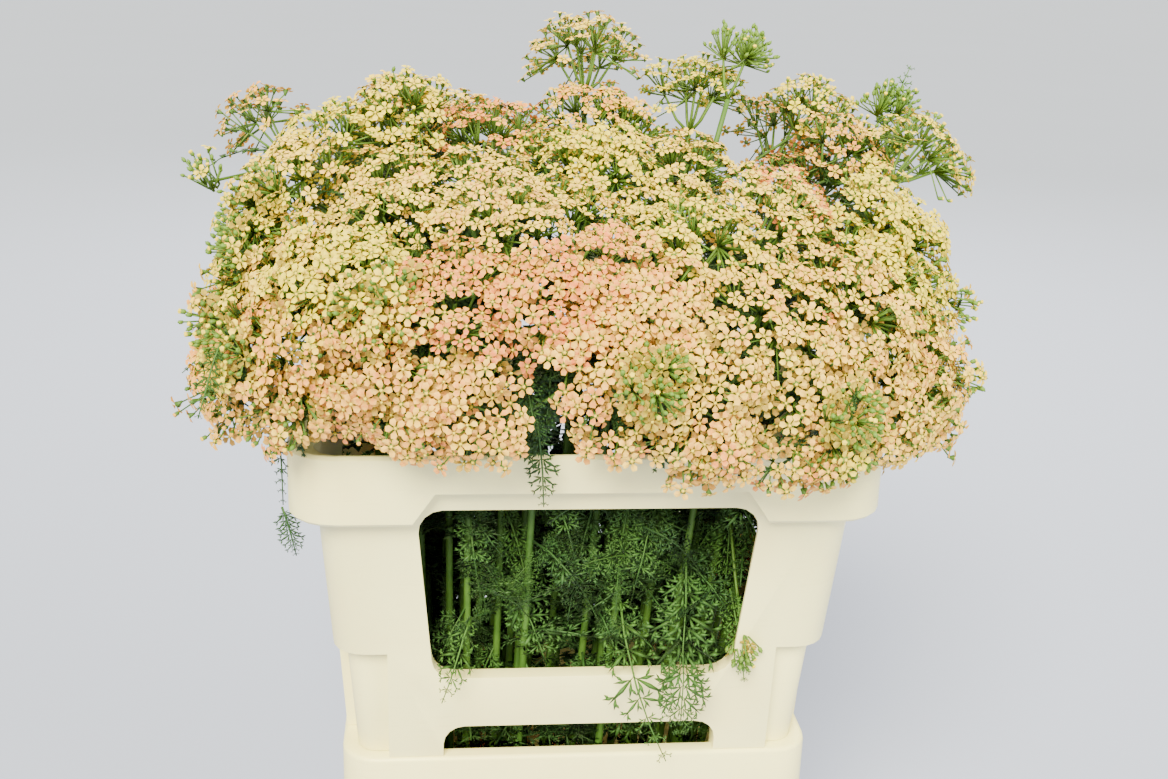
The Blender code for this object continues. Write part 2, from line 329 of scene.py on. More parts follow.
def soften_moulding(node, finish):
    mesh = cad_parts[node].data.copy()
    mesh.name = f"{node}_moulding"
    mesh.materials.clear()
    mesh.materials.append(finish)
    moulding = bpy.data.objects.new(f"{node}_moulding", mesh)
    bpy.context.scene.collection.objects.link(moulding)
    make_active(moulding)
    bpy.ops.object.mode_set(mode="EDIT")
    bpy.ops.mesh.select_all(action="SELECT")
    bpy.ops.mesh.remove_doubles(threshold=MERGE_GAP)
    bpy.ops.mesh.dissolve_limited(angle_limit=FLAT_ANGLE)
    bpy.ops.object.mode_set(mode="OBJECT")
    bevel = moulding.modifiers.new("edge", "BEVEL")
    bevel.width, bevel.segments, bevel.limit_method = EDGE_RADIUS, EDGE_SEGMENTS, "ANGLE"
    bevel.angle_limit = SHARP_ANGLE
    bpy.ops.object.modifier_apply(modifier=bevel.name)
    bpy.ops.object.shade_smooth_by_angle(angle=SMOOTH_ANGLE)
    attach(moulding, "root")
    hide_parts(node)
    print(moulding.name, len(moulding.data.polygons), "faces")


soften_moulding("bucket", bucket_cream)
soften_moulding("collar", collar_cream)

# %% [markdown]
# ## Where the heads are
# The flower heads crowd over the rim in a dome. They could be set one by one, but a rule is
# shorter: five rings of heads, each wider, lower and leaning further out than the last. The
# same rule, with the same seed, placed the CAD heads, so a head made here lands on its CAD
# solid. The print compares their tops, which differ by what a head's edge stands above its
# middle. Six heads stand up taller than their rings.

# %% Head places
# heads in the ring, its half width and half depth, its height over the rim, and its lean in degrees
HEAD_RINGS = (
    (1, 0.000, 0.000, 0.176, 0),
    (6, 0.078, 0.062, 0.176, 7),
    (11, 0.150, 0.115, 0.166, 18),
    (16, 0.222, 0.172, 0.130, 40),
    (20, 0.266, 0.210, 0.050, 78),
)
CROWN_HEADS, SHOULDER_HEADS = 18, 34
RING_SQUARENESS, RING_TURN, BACK_RISE = 0.75, 0.37, 0.034
PLACE_JITTER, LEAN_JITTER = 0.006, 6
HEAD_RADIUS = 0.050
SMALLEST_HALF = 0.05
CAD_HEAD_TOP = 0.0125
PLACES_SEED = 7
# head: its shift and its radius
TALL_HEADS = {
    7: ((-0.012, 0.000, 0.070), 0.030),
    8: ((0.000, 0.000, 0.036), 0.046),
    9: ((0.005, 0.000, 0.054), 0.052),
    19: ((0.018, 0.000, 0.042), 0.046),
    24: ((-0.024, 0.000, 0.052), 0.032),
    33: ((0.046, 0.000, 0.060), 0.040),
}


def squared(value):
    return math.copysign(abs(value) ** RING_SQUARENESS, value)


def shake(chance, reach):
    return Vector([chance.uniform(-reach, reach) for _ in range(3)])


def head_places():
    """Centre, axis and radius of every head."""
    chance = random.Random(PLACES_SEED)
    places = []
    for ring, (count, half_width, half_depth, height, lean) in enumerate(HEAD_RINGS):
        for index in range(count):
            angle = 2 * math.pi * (index + RING_TURN * ring) / count
            outward = Vector((math.cos(angle) / max(half_width, SMALLEST_HALF),
                              math.sin(angle) / max(half_depth, SMALLEST_HALF), 0)).normalized()
            rise = BACK_RISE * math.sin(angle) * (1 - lean / 90) * (ring > 0)
            seat = Vector((half_width * squared(math.cos(angle)), half_depth * squared(math.sin(angle)),
                           RIM_Z + height + rise)) + shake(chance, PLACE_JITTER)
            tilt = math.radians(lean + chance.uniform(-LEAN_JITTER, LEAN_JITTER) * (ring > 0))
            axis = (outward * math.sin(tilt) + Vector((0, 0, math.cos(tilt)))).normalized()
            shift, radius = TALL_HEADS.get(len(places), ((0, 0, 0), HEAD_RADIUS))
            places.append((seat + Vector(shift), axis, radius))
    return places


places = head_places()
worst = max(abs(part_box(f"flowering_stem_{n + 1:02d}")[1].z - (centre + axis * CAD_HEAD_TOP).z)
            for n, (centre, axis, radius) in enumerate(places[:CROWN_HEADS]))
print(len(places), "heads; the top heads' CAD solids end within", round(worst * 1000, 1), "mm of these")

# %% [markdown]
# ## Collecting copies
# The bunch holds thousands of florets, stalks and leaf lobes. Each could be an object of its
# own, but so many objects would be slow to make and to join. So each kind is modelled once and
# read out as arrays, and a `Heap` collects moved copies and writes them as one mesh at the end.
# Stalks are tubes: rings of points round each stop of a path. Petals are shaded flat, so that
# each one catches the light as a thin leaf, not as a bead.

# %% Tubes
SLANT = np.array([0.31, 0.87, 0.12])
TINY = 1e-12


def tube_rings(path, radii, sides):
    """Rings of points round the path; the slant only has to point another way than the path."""
    ways = np.gradient(path, axis=0)
    ways /= np.linalg.norm(ways, axis=1)[:, None] + TINY
    first = np.cross(ways, SLANT)
    first /= np.linalg.norm(first, axis=1)[:, None] + TINY
    second = np.cross(ways, first)
    angles = np.arange(sides) * 2 * math.pi / sides
    spokes = (np.cos(angles)[None, :, None] * first[:, None]
              + np.sin(angles)[None, :, None] * second[:, None])
    return (path[:, None] + radii[:, None, None] * spokes).reshape(-1, 3)


def tube_faces(stops, sides):
    """The wall between the rings, and a cap at both ends."""
    faces = []
    for ring in range(stops - 1):
        for side in range(sides):
            a, b = ring * sides + side, ring * sides + (side + 1) % sides
            faces += [(a, b, b + sides), (a, b + sides, a + sides)]
    last = (stops - 1) * sides
    for side in range(1, sides - 1):
        faces += [(0, side + 1, side), (last, last + side, last + side + 1)]
    return faces


print("a straight stalk of three sides takes", len(tube_faces(2, 3)), "triangles")

# %% Heap of copies
# The fifth slot holds petals darkened with painted shade, for the florets below the surface.
PETAL, BUTTON, GREEN, LEAF, SHADED_PETAL = 0, 1, 2, 3, 4


class Heap:
    """Collects triangles, then makes one object of them."""

    def __init__(self):
        self.parts = []
        self.count = 0

    def add(self, points, faces, slots=0, along=0.0, tint=0.0, fresh=0.0):
        total = len(points)
        self.parts.append((np.asarray(points, float), np.asarray(faces, int) + self.count,
                           np.broadcast_to(slots, len(faces)), np.broadcast_to(along, total),
                           np.broadcast_to(tint, total), np.broadcast_to(fresh, total)))
        self.count += total

    def stamp(self, pattern, turn, place, scale=1.0, tint=0.0, fresh=0.0):
        points = (pattern.points * scale) @ np.asarray(turn).T + np.asarray(place)
        self.add(points, pattern.faces, pattern.slots, pattern.along, tint, fresh)

    def tube(self, path, radii, sides=3, fresh=0.0):
        path = np.asarray(path, float)
        rings = tube_rings(path, np.broadcast_to(radii, len(path)), sides)
        along = np.repeat(np.linspace(0, 1, len(path)), sides)
        self.add(rings, tube_faces(len(path), sides), GREEN, along, 0.0, fresh)

    def arrays(self):
        return [np.concatenate(kind) for kind in zip(*self.parts)]

    def build(self, name):
        points, faces, slots, along, tint, fresh = self.arrays()
        mesh = bpy.data.meshes.new(name)
        mesh.vertices.add(len(points))
        mesh.vertices.foreach_set("co", points.astype(np.float32).ravel())
        mesh.loops.add(faces.size)
        mesh.loops.foreach_set("vertex_index", faces.astype(np.int32).ravel())
        mesh.polygons.add(len(faces))
        mesh.polygons.foreach_set("loop_start", np.arange(0, faces.size, 3, dtype=np.int32))
        mesh.polygons.foreach_set("material_index", slots.astype(np.int32))
        mesh.polygons.foreach_set("use_smooth", (slots != PETAL) & (slots != SHADED_PETAL))
        for label, values in (("along", along), ("tint", tint), ("fresh", fresh)):
            mesh.attributes.new(label, "FLOAT", "POINT").data.foreach_set("value", values.astype(np.float32))
        mesh.update(calc_edges=True)
        for material in materials:
            mesh.materials.append(material)
        item = bpy.data.objects.new(name, mesh)
        bpy.context.scene.collection.objects.link(item)
        return item


trial = Heap()
trial.tube([(0, 0, 0), (0, 0, 1), (0, 1, 2)], 0.1)
print("a bent stalk has", trial.count, "points")

# %% [markdown]
# ## Petals
# The petals are cream, peach or salmon, and a fresh floret is yellow. The florets below the surface
# get a copy of the material darkened to a dull brown, which is painted shade. Each colour could be
# a material of its own. Here one material reads three numbers that ride on the points, so that no
# two florets are quite alike: `along` runs from a floret's middle to its petal tips, `tint` from
# cream to salmon, and `fresh` says how yellow-green a young floret still is.

# %% Petal finishes
PETAL_STOPS = ((0.0, (0.78, 0.52, 0.10)), (0.35, (0.78, 0.42, 0.09)),
               (0.62, (0.75, 0.29, 0.08)), (1.0, (0.69, 0.165, 0.065)))
FRESH_YELLOW = (0.68, 0.55, 0.006)
PETAL_PALE = (0.88, 0.66, 0.20)
# painted shade at the base of each petal, round the button
PETAL_BASE_SHADE = (0.34, 0.24, 0.02)
# painted shade: the dull brown of the florets below the heads' surface, and how much of it they get
PETAL_SHADE = (0.17, 0.115, 0.025)
SHADE_STRENGTH = 0.72


def petal_finish(name, painted_shade):
    """The second argument blends in painted shade, a dull brown, for the florets that fill the head below its
    surface.
    """
    finish = Finish(name, Subsurface_Weight=0.15, Subsurface_Radius=(0.004, 0.0025, 0.001),
                    Subsurface_Scale=0.5, IOR=1.35)
    place = finish.place()
    mottle = finish.noise(170.0, detail=2.0, vector=place)
    along = finish.attribute("along")
    warmth = finish.attribute("tint") + (mottle - 0.5) * 0.45
    colour = finish.ramp(warmth, *PETAL_STOPS)
    colour = finish.blend(finish.attribute("fresh") * 0.85, colour, FRESH_YELLOW)
    colour = finish.blend(finish.between(along, 0.70, 1.0) * 0.28, colour, PETAL_PALE)
    # painted shade where the petals meet the button
    colour = finish.blend(finish.between(along, 0.20, 0.62, 0.85, 0.0), colour, PETAL_BASE_SHADE)
    # painted shade for the florets below the surface
    colour = finish.blend(painted_shade, colour, PETAL_SHADE)
    veins = finish.noise(2200.0, detail=1.0, vector=place)
    return finish.connect(Base_Color=colour, Roughness=0.55 + mottle * 0.2,
                          Normal=finish.bump(veins, 0.12, 0.0002))


fresh_petals = petal_finish("yarrow_petal", 0.0)
# a copy darkened with painted shade, for the florets below the surface
shaded_petals = petal_finish("yarrow_petal_shaded", SHADE_STRENGTH)
print(fresh_petals.name, "and", shaded_petals.name)

# %% [markdown]
# ## Button and greens
# The button in a floret's middle is a dome of tiny yellow grains, and the stems and leaves are
# green with darker streaks. Grains could be modelled, but at 3 mm across a bump does as well. The
# same green recipe serves stems and leaves, with `fresh` to make young parts lighter.

# %% Button and green finishes
BUTTON_DARK, BUTTON_LIGHT = (0.52, 0.40, 0.03), (0.82, 0.62, 0.06)
STEM_DARK, STEM_LIGHT, STEM_YOUNG = (0.028, 0.085, 0.014), (0.058, 0.145, 0.026), (0.115, 0.215, 0.024)
LEAF_DARK, LEAF_LIGHT, LEAF_YOUNG = (0.010, 0.038, 0.012), (0.026, 0.092, 0.024), (0.10, 0.25, 0.03)


def button_finish():
    finish = Finish("yarrow_button", Roughness=0.8)
    grains = finish.noise(1500.0, detail=1.0)
    colour = finish.ramp(grains, (0.35, BUTTON_DARK), (0.65, BUTTON_LIGHT))
    return finish.connect(Base_Color=colour, Normal=finish.bump(grains, 0.6, 0.0005))


def green_finish(name, dark, light, young, streak_scale):
    finish = Finish(name)
    place = finish.place()
    streaks = finish.noise(streak_scale, detail=3.0, vector=place)
    colour = finish.ramp(streaks, (0.3, dark), (0.7, light))
    colour = finish.blend(finish.attribute("fresh") * 0.8, colour, young)
    return finish.connect(Base_Color=colour, Roughness=0.5 + streaks * 0.25,
                          Normal=finish.bump(finish.noise(900.0, vector=place), 0.3, 0.0003))


# in the order of PETAL, BUTTON, GREEN, LEAF and the petals darkened with painted shade
materials = (fresh_petals, button_finish(),
             green_finish("yarrow_stem_green", STEM_DARK, STEM_LIGHT, STEM_YOUNG, 90.0),
             green_finish("yarrow_leaf_green", LEAF_DARK, LEAF_LIGHT, LEAF_YOUNG, 60.0), shaded_petals)
print([material.name for material in materials])

# %% [markdown]
# ## One floret
# A yarrow floret is about 12 mm wide: five broad, blunt rays round a small button, over a green
# cup that narrows to the stalk. Smooth petals with many faces would be easy to sculpt, but a
# bunch of thousands has to stay light. So a ray is a flat cone with a filled base, whose two
# fans are pulled to a blunt outline and cupped, and the button and the cup are cones of five
# sides. Every part is closed. Joining drops empty material slots, so each part gets all five.

# %% Parts of a floret
FLORET_RADIUS = 0.0065
RAY_OUTLINE = ((0.0008, 0.0), (0.0040, 0.0021), (0.0063, 0.0014), (0.0063, -0.0014), (0.0040, -0.0021))
RAY_MIDDLE, RAY_THICK = 0.0040, 0.00032
CUP_WIDTH, CUP_LENGTH, MIDDLE_SINK = 0.0026, 0.0064, 0.30
CONE_SIDES = 5


def set_slot(item, slot):
    for material in materials:
        item.data.materials.append(material)
    for face in item.data.polygons:
        face.material_index = slot
    return item


def model_ray(cupping, turn, lift, roll):
    """One ray petal: a lens of two fans over a blunt outline, its edges lifted by cupping."""
    corners = len(RAY_OUTLINE)
    bpy.ops.mesh.primitive_cone_add(vertices=corners, radius1=1, radius2=0, depth=1, end_fill_type="TRIFAN")
    ray = bpy.context.object
    for vertex in ray.data.vertices:
        x, y, z = vertex.co
        if math.hypot(x, y) < 0.5:
            middle = math.copysign(RAY_THICK / 2, z) - cupping * MIDDLE_SINK + lift
            vertex.co = (RAY_MIDDLE, 0.0, middle)
        else:
            out, side = RAY_OUTLINE[round(math.atan2(x, y) / (2 * math.pi) * corners) % corners]
            edge = cupping * (abs(side) / CUP_WIDTH) ** 1.5 - cupping * (out / CUP_LENGTH) ** 3
            vertex.co = (out, side, edge + lift)
    ray.rotation_euler = (roll, 0, turn)
    bpy.ops.object.transform_apply(location=False, rotation=True, scale=False)
    return set_slot(ray, PETAL)


def model_cone(low_radius, high_radius, low, high, slot):
    """A button is a low cone, and a green cup is a cone that stands on its cut tip."""
    bpy.ops.mesh.primitive_cone_add(vertices=CONE_SIDES, radius1=low_radius, radius2=high_radius,
                                    depth=high - low, location=(0, 0, (low + high) / 2))
    bpy.ops.object.transform_apply(location=True, rotation=True, scale=True)
    return set_slot(bpy.context.object, slot)


def model_egg(radius, height, base, slot):
    bpy.ops.mesh.primitive_uv_sphere_add(segments=5, ring_count=3, radius=1.0)
    egg = bpy.context.object
    for vertex in egg.data.vertices:
        vertex.co = (vertex.co.x * radius, vertex.co.y * radius, vertex.co.z * height + base)
    return set_slot(egg, slot)


trial = model_ray(0.0010, 0.0, 0.0, 0.0)
reach = max(vertex.co.x for vertex in trial.data.vertices)
print("a ray of", len(trial.data.polygons), "faces reaches", round(reach * 1000, 1), "mm")
bpy.data.objects.remove(trial, do_unlink=True)

# %% [markdown]
# ## Whole florets and buds
# No two florets in the bunch are alike: some are cupped, some bent back, and some have lost a
# ray. Six forms, turned at random, hide the repeat. Each comes with a cup, without one for places
# where it can't be seen, and in petals darkened with painted shade, for the florets below the
# surface. A bud is a green egg with a tip, which turns to petals as it opens.

# %% Floret models
# rays and how far they are cupped
FLORET_FORMS = ((5, 0.0004), (5, 0.0011), (5, 0.0007), (4, 0.0009), (5, -0.0006), (5, -0.0010))
BUD_ALONG = 0.75


class Pattern:
    """The triangles of joined parts, with their material numbers and one value per point."""

    def __init__(self, parts):
        make_active(parts[0])
        for part in parts:
            part.select_set(True)
        bpy.ops.object.join()
        mesh = bpy.context.object.data
        mesh.calc_loop_triangles()
        self.points = np.array([v.co for v in mesh.vertices], float)
        self.faces = np.array([t.vertices[:] for t in mesh.loop_triangles], int)
        self.slots = np.array([t.material_index for t in mesh.loop_triangles], int)
        self.along = np.hypot(self.points[:, 0], self.points[:, 1]) / FLORET_RADIUS
        bpy.data.objects.remove(bpy.context.object, do_unlink=True)


def model_floret(form, cupped, petals=PETAL):
    chance = random.Random(form)
    rays, cupping = FLORET_FORMS[form]
    parts = [model_ray(cupping, 2 * math.pi * (k + chance.uniform(-0.07, 0.07)) / rays,
                       chance.uniform(-0.0003, 0.0004), chance.uniform(-0.12, 0.12)) for k in range(rays)]
    parts.append(model_cone(0.0015, 0.0, 0.0001, 0.0011, BUTTON))
    if cupped:
        parts.append(model_cone(0.0006, 0.0024, -0.0049, -0.0001, GREEN))
    floret = Pattern(parts)
    floret.slots[floret.slots == PETAL] = petals
    return floret


def model_bud(opening):
    tip_radius, tip_slot = (0.0019, PETAL) if opening else (0.0007, GREEN)
    bud = Pattern([model_egg(0.0018, 0.0025, -0.0012, GREEN),
                   model_egg(tip_radius, 0.0011, 0.0007, tip_slot)])
    bud.along[:] = BUD_ALONG
    return bud


forms = range(len(FLORET_FORMS))
inner_florets = [model_floret(form, cupped=False) for form in forms]
outer_florets = [model_floret(form, cupped=True) for form in forms]
# florets darkened with painted shade, to sit below the heads' surface
shaded_florets = [model_floret(form, cupped=False, petals=SHADED_PETAL) for form in forms]
buds = [model_bud(opening=False), model_bud(opening=True)]
print("triangles of one floret by material", np.bincount(outer_florets[0].slots), "and of an opening bud",
      np.bincount(buds[1].slots))

# %% [markdown]
# ## Feathery leaves
# Yarrow's leaf is cut twice: a midrib carries pairs of side ribs, and each of these carries fine
# lobes, which may fork. A picture of a leaf on a flat card would be quick, but it has no depth
# when seen from the side. So one lobed side rib is built of blades, the thinnest closed solid
# there is: four triangles. Five kinds run from broad, for dark places, to lace, for the window.

# %% Side ribs
LeafKind = namedtuple("LeafKind", "pairs points faces")
BLADE_FACES = [(0, 3, 1), (1, 3, 2), (0, 1, 2), (0, 2, 3)]
RIDGE = np.array((0, 0, 0.05))
SPINE_WIDTH, LOBE_WIDTH, FORK_WIDTH = 0.20, 0.16, 0.13
FIRST_LOBE, LOBES_SPAN = 0.16, 0.60
LOBE_SIZE, LOBE_TAPER = 0.50, 0.22


def blade(start, end, width):
    """Four points of a thin blade, with a ridge on its upper side."""
    start, end = np.array(start, float), np.array(end, float)
    way = (end - start) / np.linalg.norm(end - start)
    across = np.array((-way[1], way[0], 0.0)) * width / 2
    middle = start * 0.5 + end * 0.5
    return [start, middle + across + RIDGE, end, middle - across + RIDGE]


def leaf_kind(pairs, lobe_pairs, broad, forked=False):
    """Pairs of side ribs, and one side rib of unit length along +X with its lobes."""
    rib = Heap()
    rib.add(blade((-0.05, 0, 0), (1, 0, 0), SPINE_WIDTH * broad), BLADE_FACES)
    for k in range(lobe_pairs):
        at = FIRST_LOBE + LOBES_SPAN * k / max(1, lobe_pairs - 1)
        size = LOBE_SIZE - LOBE_TAPER * at
        for side in (-1, 1):
            lobe_tip = (at + size * 0.70, side * size * 0.66, 0.03)
            rib.add(blade((at - 0.06, 0, 0), lobe_tip, LOBE_WIDTH * broad), BLADE_FACES)
            if forked:
                fork = (at + size * 0.22, side * size * 0.30, 0.01)
                fork_tip = (at + size * 0.30, side * size * 0.86, 0.03)
                rib.add(blade(fork, fork_tip, FORK_WIDTH * broad), BLADE_FACES)
    points, faces = rib.arrays()[:2]
    return LeafKind(pairs, points, faces)


BROAD = leaf_kind(8, 1, 2.2)
COARSE = leaf_kind(10, 2, 0.8)
FINE = leaf_kind(10, 3, 0.62, forked=True)
LACE = leaf_kind(15, 3, 0.52, forked=True)
SPARSE = leaf_kind(8, 2, 0.62, forked=True)
print("triangles of one side rib:", [len(kind.faces) for kind in (BROAD, COARSE, FINE, LACE, SPARSE)])

# %% [markdown]
# ## Growing a leaf
# A real leaf arches over as it grows, and is widest in its middle. A flat leaf could be bent
# afterwards with a modifier. Here it is grown step by step instead: the heading turns a little
# at each step, and the side ribs are set in pairs square to it, so every leaf bends its own way.

# %% Leaf
LEAF_HALF_WIDTH, TIP_WIDTH = 0.19, 0.28
FIRST_PAIR, PAIRS_SPAN = 0.10, 0.88
RIB_SIZES, RIB_SPREAD, RIB_SWEEP, RIB_LIFT = (0.70, 1.15), 0.86, (0.35, 0.85), (-0.25, 0.50)
MIDRIB_THICK, MIDRIB_THIN, MIDRIB_SKIP = 0.0010, 0.0004, 4
WAVER = 0.04


def grow_midrib(root, heading, face, length, bend, steps, chance):
    """Points along the midrib, and at each its heading, the way across it and its face."""
    heading, here, side = heading.copy(), Vector(root), heading.cross(face).normalized()
    points, frames = [], []
    for _ in range(steps + 1):
        points.append(here.copy())
        across = heading.cross(face).normalized()
        frames.append([np.array(way) for way in (heading, across, across.cross(heading).normalized())])
        turn = Vector(bend) * (2.0 / steps) + side * chance.uniform(-WAVER, WAVER)
        heading = (heading + turn).normalized()
        here = here + heading * (length / steps)
    return np.array(points), frames


def leaf_profile(share):
    """The width along a leaf: most in the middle, and at the tip still some."""
    return max(TIP_WIDTH, math.sin(math.pi * min(1, share * 0.90 + 0.12)) ** 0.65)


def add_leaf(heap, root, way, up, length, chance, bend=(0, 0, -0.5), kind=COARSE, limit=None, fresh=0.0,
             slim=1.0):
    """One leaf from root: it sets off along way, its face towards up, and bends as it grows."""
    heading = Vector(way).normalized()
    side = heading.cross(Vector(up)).normalized()
    steps = 2 * kind.pairs
    midrib, frames = grow_midrib(root, heading, side.cross(heading), length, bend, steps, chance)
    leaf = Heap()
    stops = midrib[::MIDRIB_SKIP]
    leaf.tube(stops, np.linspace(MIDRIB_THICK, MIDRIB_THIN, len(stops)), 3)
    for pair in range(kind.pairs):
        share = FIRST_PAIR + PAIRS_SPAN * pair / (kind.pairs - 1)
        width = length * LEAF_HALF_WIDTH * slim * chance.uniform(*RIB_SIZES) * leaf_profile(share)
        spot = int(share * steps)
        heading, across, normal = frames[spot]
        for hand in (-1, 1):
            out = (across * hand * RIB_SPREAD + heading * chance.uniform(*RIB_SWEEP)
                   + normal * chance.uniform(*RIB_LIFT))
            out /= np.linalg.norm(out)
            basis = np.stack((out, np.cross(normal, out), normal), axis=1)
            leaf.add((kind.points * width) @ basis.T + midrib[spot], kind.faces)
    points, faces = leaf.arrays()[:2]
    heap.add(limit(points) if limit else points, faces, LEAF, 0.5, 0.0, fresh)


trial = Heap()
add_leaf(trial, (0, 0, 0), (1, 0, 0), (0, 0, 1), 0.08, random.Random(0))
print("a coarse leaf takes", len(trial.arrays()[1]), "triangles")

# %% [markdown]
# ## Spreading florets
# A yarrow head is a flat-topped spray: the stem forks at its neck, each branch carries a small
# cluster, and each cluster holds about ten florets on thin stalks. Places drawn at random would
# leave holes and heaps. Sunflower seeds show a better way: each place is turned by the golden
# angle from the last, which spreads them evenly, and a little slack hides the pattern.

# %% Spreading and turning
HeadKind = namedtuple("HeadKind", "open_share warmth freshness")
GOLDEN = math.pi * (3 - math.sqrt(5))
FULL_TURN = 6.28
FLORET_SIZES, WARMTH_SPREAD, FRESHNESS_SPREAD = (0.88, 1.08), 0.15, 0.20
OPENING_SHARE, BUD_FRESHNESS = 0.15, 0.25
STALK_DROP = 0.0032


def turn_to(axis, spin):
    """Rotation that takes +Z to axis, after a spin about it."""
    quaternion = Vector((0, 0, 1)).rotation_difference(Vector(axis))
    return np.array((quaternion.to_matrix() @ Matrix.Rotation(spin, 3, "Z")))


def sunflower(radius, count, chance, slack):
    """Evenly spread places on a disc, each moved a little."""
    for k in range(count):
        reach = radius * math.sqrt((k + 0.5) / count)
        angle = k * GOLDEN
        yield (reach * math.cos(angle) + chance.uniform(-slack, slack),
               reach * math.sin(angle) + chance.uniform(-slack, slack))


def add_floret(heap, kind, spot, facing, chance, outer, scale):
    """One floret or bud; returns the place where its stalk meets it."""
    size = chance.uniform(*FLORET_SIZES) * scale
    is_open = chance.random() < kind.open_share
    if is_open:
        pattern = chance.choice(outer_florets if outer else inner_florets)
    else:
        pattern = buds[int(chance.random() < kind.open_share + OPENING_SHARE)]
    turn = turn_to(facing, chance.uniform(0, FULL_TURN))
    tint = kind.warmth + chance.gauss(0, WARMTH_SPREAD)
    fresh = kind.freshness + chance.gauss(0, FRESHNESS_SPREAD) + (0 if is_open else BUD_FRESHNESS)
    heap.stamp(pattern, turn, spot, size, tint, min(1, max(0, fresh)))
    return spot - facing * STALK_DROP * size


print("the golden angle is", round(math.degrees(GOLDEN), 1), "degrees")

# %% [markdown]
# ## The plan of a spray
# Seen from afar a head looks flat, but it is a low dome of small bulges, one to each cluster. A
# dome with a picture of flowers would be far lighter, but smooth, and light would not catch in
# it. So the spray is built as it grows, from its neck outwards, and a small class keeps its
# plan: where its clusters are, how high its dome stands, and which way a place on it faces.

# %% Plan of a spray
FLORET_AREA, BUD_AREA = 90e-6, 34e-6
FEWEST_FLORETS, FEWEST_CLUSTERS = 9, 3
CLUSTER_RADIUS, CLUSTERS_REACH, CLUSTER_SLACK = 0.0165, 0.90, 0.003
DOME_RISE, DOME_FALL, DOME_POWER = 0.20, 0.34, 2.3


class Spray:
    """A flat-topped spray of clusters round centre, which faces along axis and forks at neck."""

    def __init__(self, heap, centre, axis, neck, radius, kind, chance, rise, scale):
        self.heap, self.radius, self.kind, self.chance = heap, radius, kind, chance
        self.rise, self.scale = rise, scale
        self.basis = turn_to(axis, chance.uniform(0, FULL_TURN))
        self.centre, self.neck, self.axis = np.array(centre), np.array(neck), np.array(axis)
        area = BUD_AREA + (FLORET_AREA - BUD_AREA) * min(1, kind.open_share * 1.1)
        self.count = max(FEWEST_FLORETS, int(math.pi * radius ** 2 / (area * scale ** 2)))
        clusters = max(FEWEST_CLUSTERS, round((radius / CLUSTER_RADIUS) ** 2))
        self.clusters = np.array(list(sunflower(radius * CLUSTERS_REACH, clusters, chance, CLUSTER_SLACK)))
        self.forks = []

    def dome(self, x, y):
        return self.radius * (self.rise - DOME_FALL * (math.hypot(x, y) / self.radius) ** DOME_POWER)

    def spot(self, x, y, height):
        """A place over the spray's own flat plan."""
        return self.centre + self.basis @ np.array((x, y, height))

    def facing(self, x, y):
        """A way that leans from the spray's axis by x and y."""
        return self.basis @ np.array(Vector((x, y, 1.0)).normalized())

    def nearest(self, x, y):
        gaps = np.hypot(self.clusters[:, 0] - x, self.clusters[:, 1] - y)
        return int(gaps.argmin()), gaps.min()


trial = Spray(Heap(), (0, 0, 0.05), (0, 0, 1), (0, 0, 0), HEAD_RADIUS, HeadKind(1, 0.5, 0), random.Random(0),
              DOME_RISE, 1.0)
print("a big head has", len(trial.clusters), "clusters and", trial.count, "florets")

# %% [markdown]
# ## Behind the florets
# Look into a head from the side and one sees thin branches, and behind them the leaves below the
# head. Both could be left out, as the florets hide most of them, but then daylight shows between
# the florets. So dark, broad leaves stand round the neck, and a branch runs to each cluster.

# %% Leaves and branches
BACK_LEAVES_PER_METRE = 110
BRANCH_RADII = (0.0014, 0.0011, 0.0009)
FORK_DEPTH, FORK_SPREAD = 0.020, 0.66


def back_with_leaves(spray):
    """Dark leaves round the neck close the gaps between the branches."""
    droop = spray.axis * -0.30 + np.array((0, 0, 0.02))
    for k in range(round(spray.radius * BACK_LEAVES_PER_METRE)):
        angle = k * GOLDEN + spray.chance.uniform(-0.3, 0.3)
        way = spray.basis @ np.array((math.cos(angle), math.sin(angle), 0.25))
        length = spray.radius * spray.chance.uniform(0.8, 1.05)
        add_leaf(spray.heap, spray.neck + spray.axis * 0.008, way, spray.axis, length, spray.chance, droop,
                 BROAD, None, 0.10, 1.3)


def branch(spray):
    """A branch to each cluster, which ends in a fork below its florets."""
    for x, y in spray.clusters:
        height = spray.dome(x, y) - FORK_DEPTH + spray.chance.uniform(-0.002, 0.002)
        fork = spray.spot(x * FORK_SPREAD, y * FORK_SPREAD, height)
        middle = spray.neck * 0.5 + fork * 0.5 - spray.axis * 0.004
        spray.heap.tube([spray.neck, middle, fork], BRANCH_RADII, 4, 0.45 + spray.kind.freshness * 0.4)
        spray.forks.append(fork)


branch(trial)
print(len(trial.forks), "branches")

# %% [markdown]
# ## The florets of a spray
# The florets in sight follow the bulges and face out from them, loosely, for no two look the
# same way. Below them sit more florets, darkened with painted shade. A dark disc would close the
# gaps as well, but florets are what one really sees there. At the rim of a leaning head a few
# have slipped out.

# %% Florets
STALK_RADII, HANGING_RADII = (0.0007, 0.0006), (0.0008, 0.0007, 0.0006)
BULGE, BULGE_FALL, BULGE_REACH = 0.0045, 0.0130, 1.6
RIM_LEAN, BULGE_LEAN, LOOSE_LEAN = 0.46, 24, 0.5
FLORET_SLACK, FLORET_HEIGHTS = 0.0018, (-0.0050, 0.0026)
FLAT_RISE, SEEN_FROM = 0.1, 0.6
# where the florets darkened with painted shade sit below the surface, and how they lean and vary
SHADED_REACH, SHADED_SLACK, SHADED_DEPTHS, SHADED_LEAN, SHADED_SPREAD = 0.94, 0.003, (0.006, 0.013), 0.7, 0.2
HANG_SWING, HANG_REACH, HANG_DEPTHS, HANG_SHAKE = 1.1, (0.92, 1.14), (0.002, 0.016), 0.4


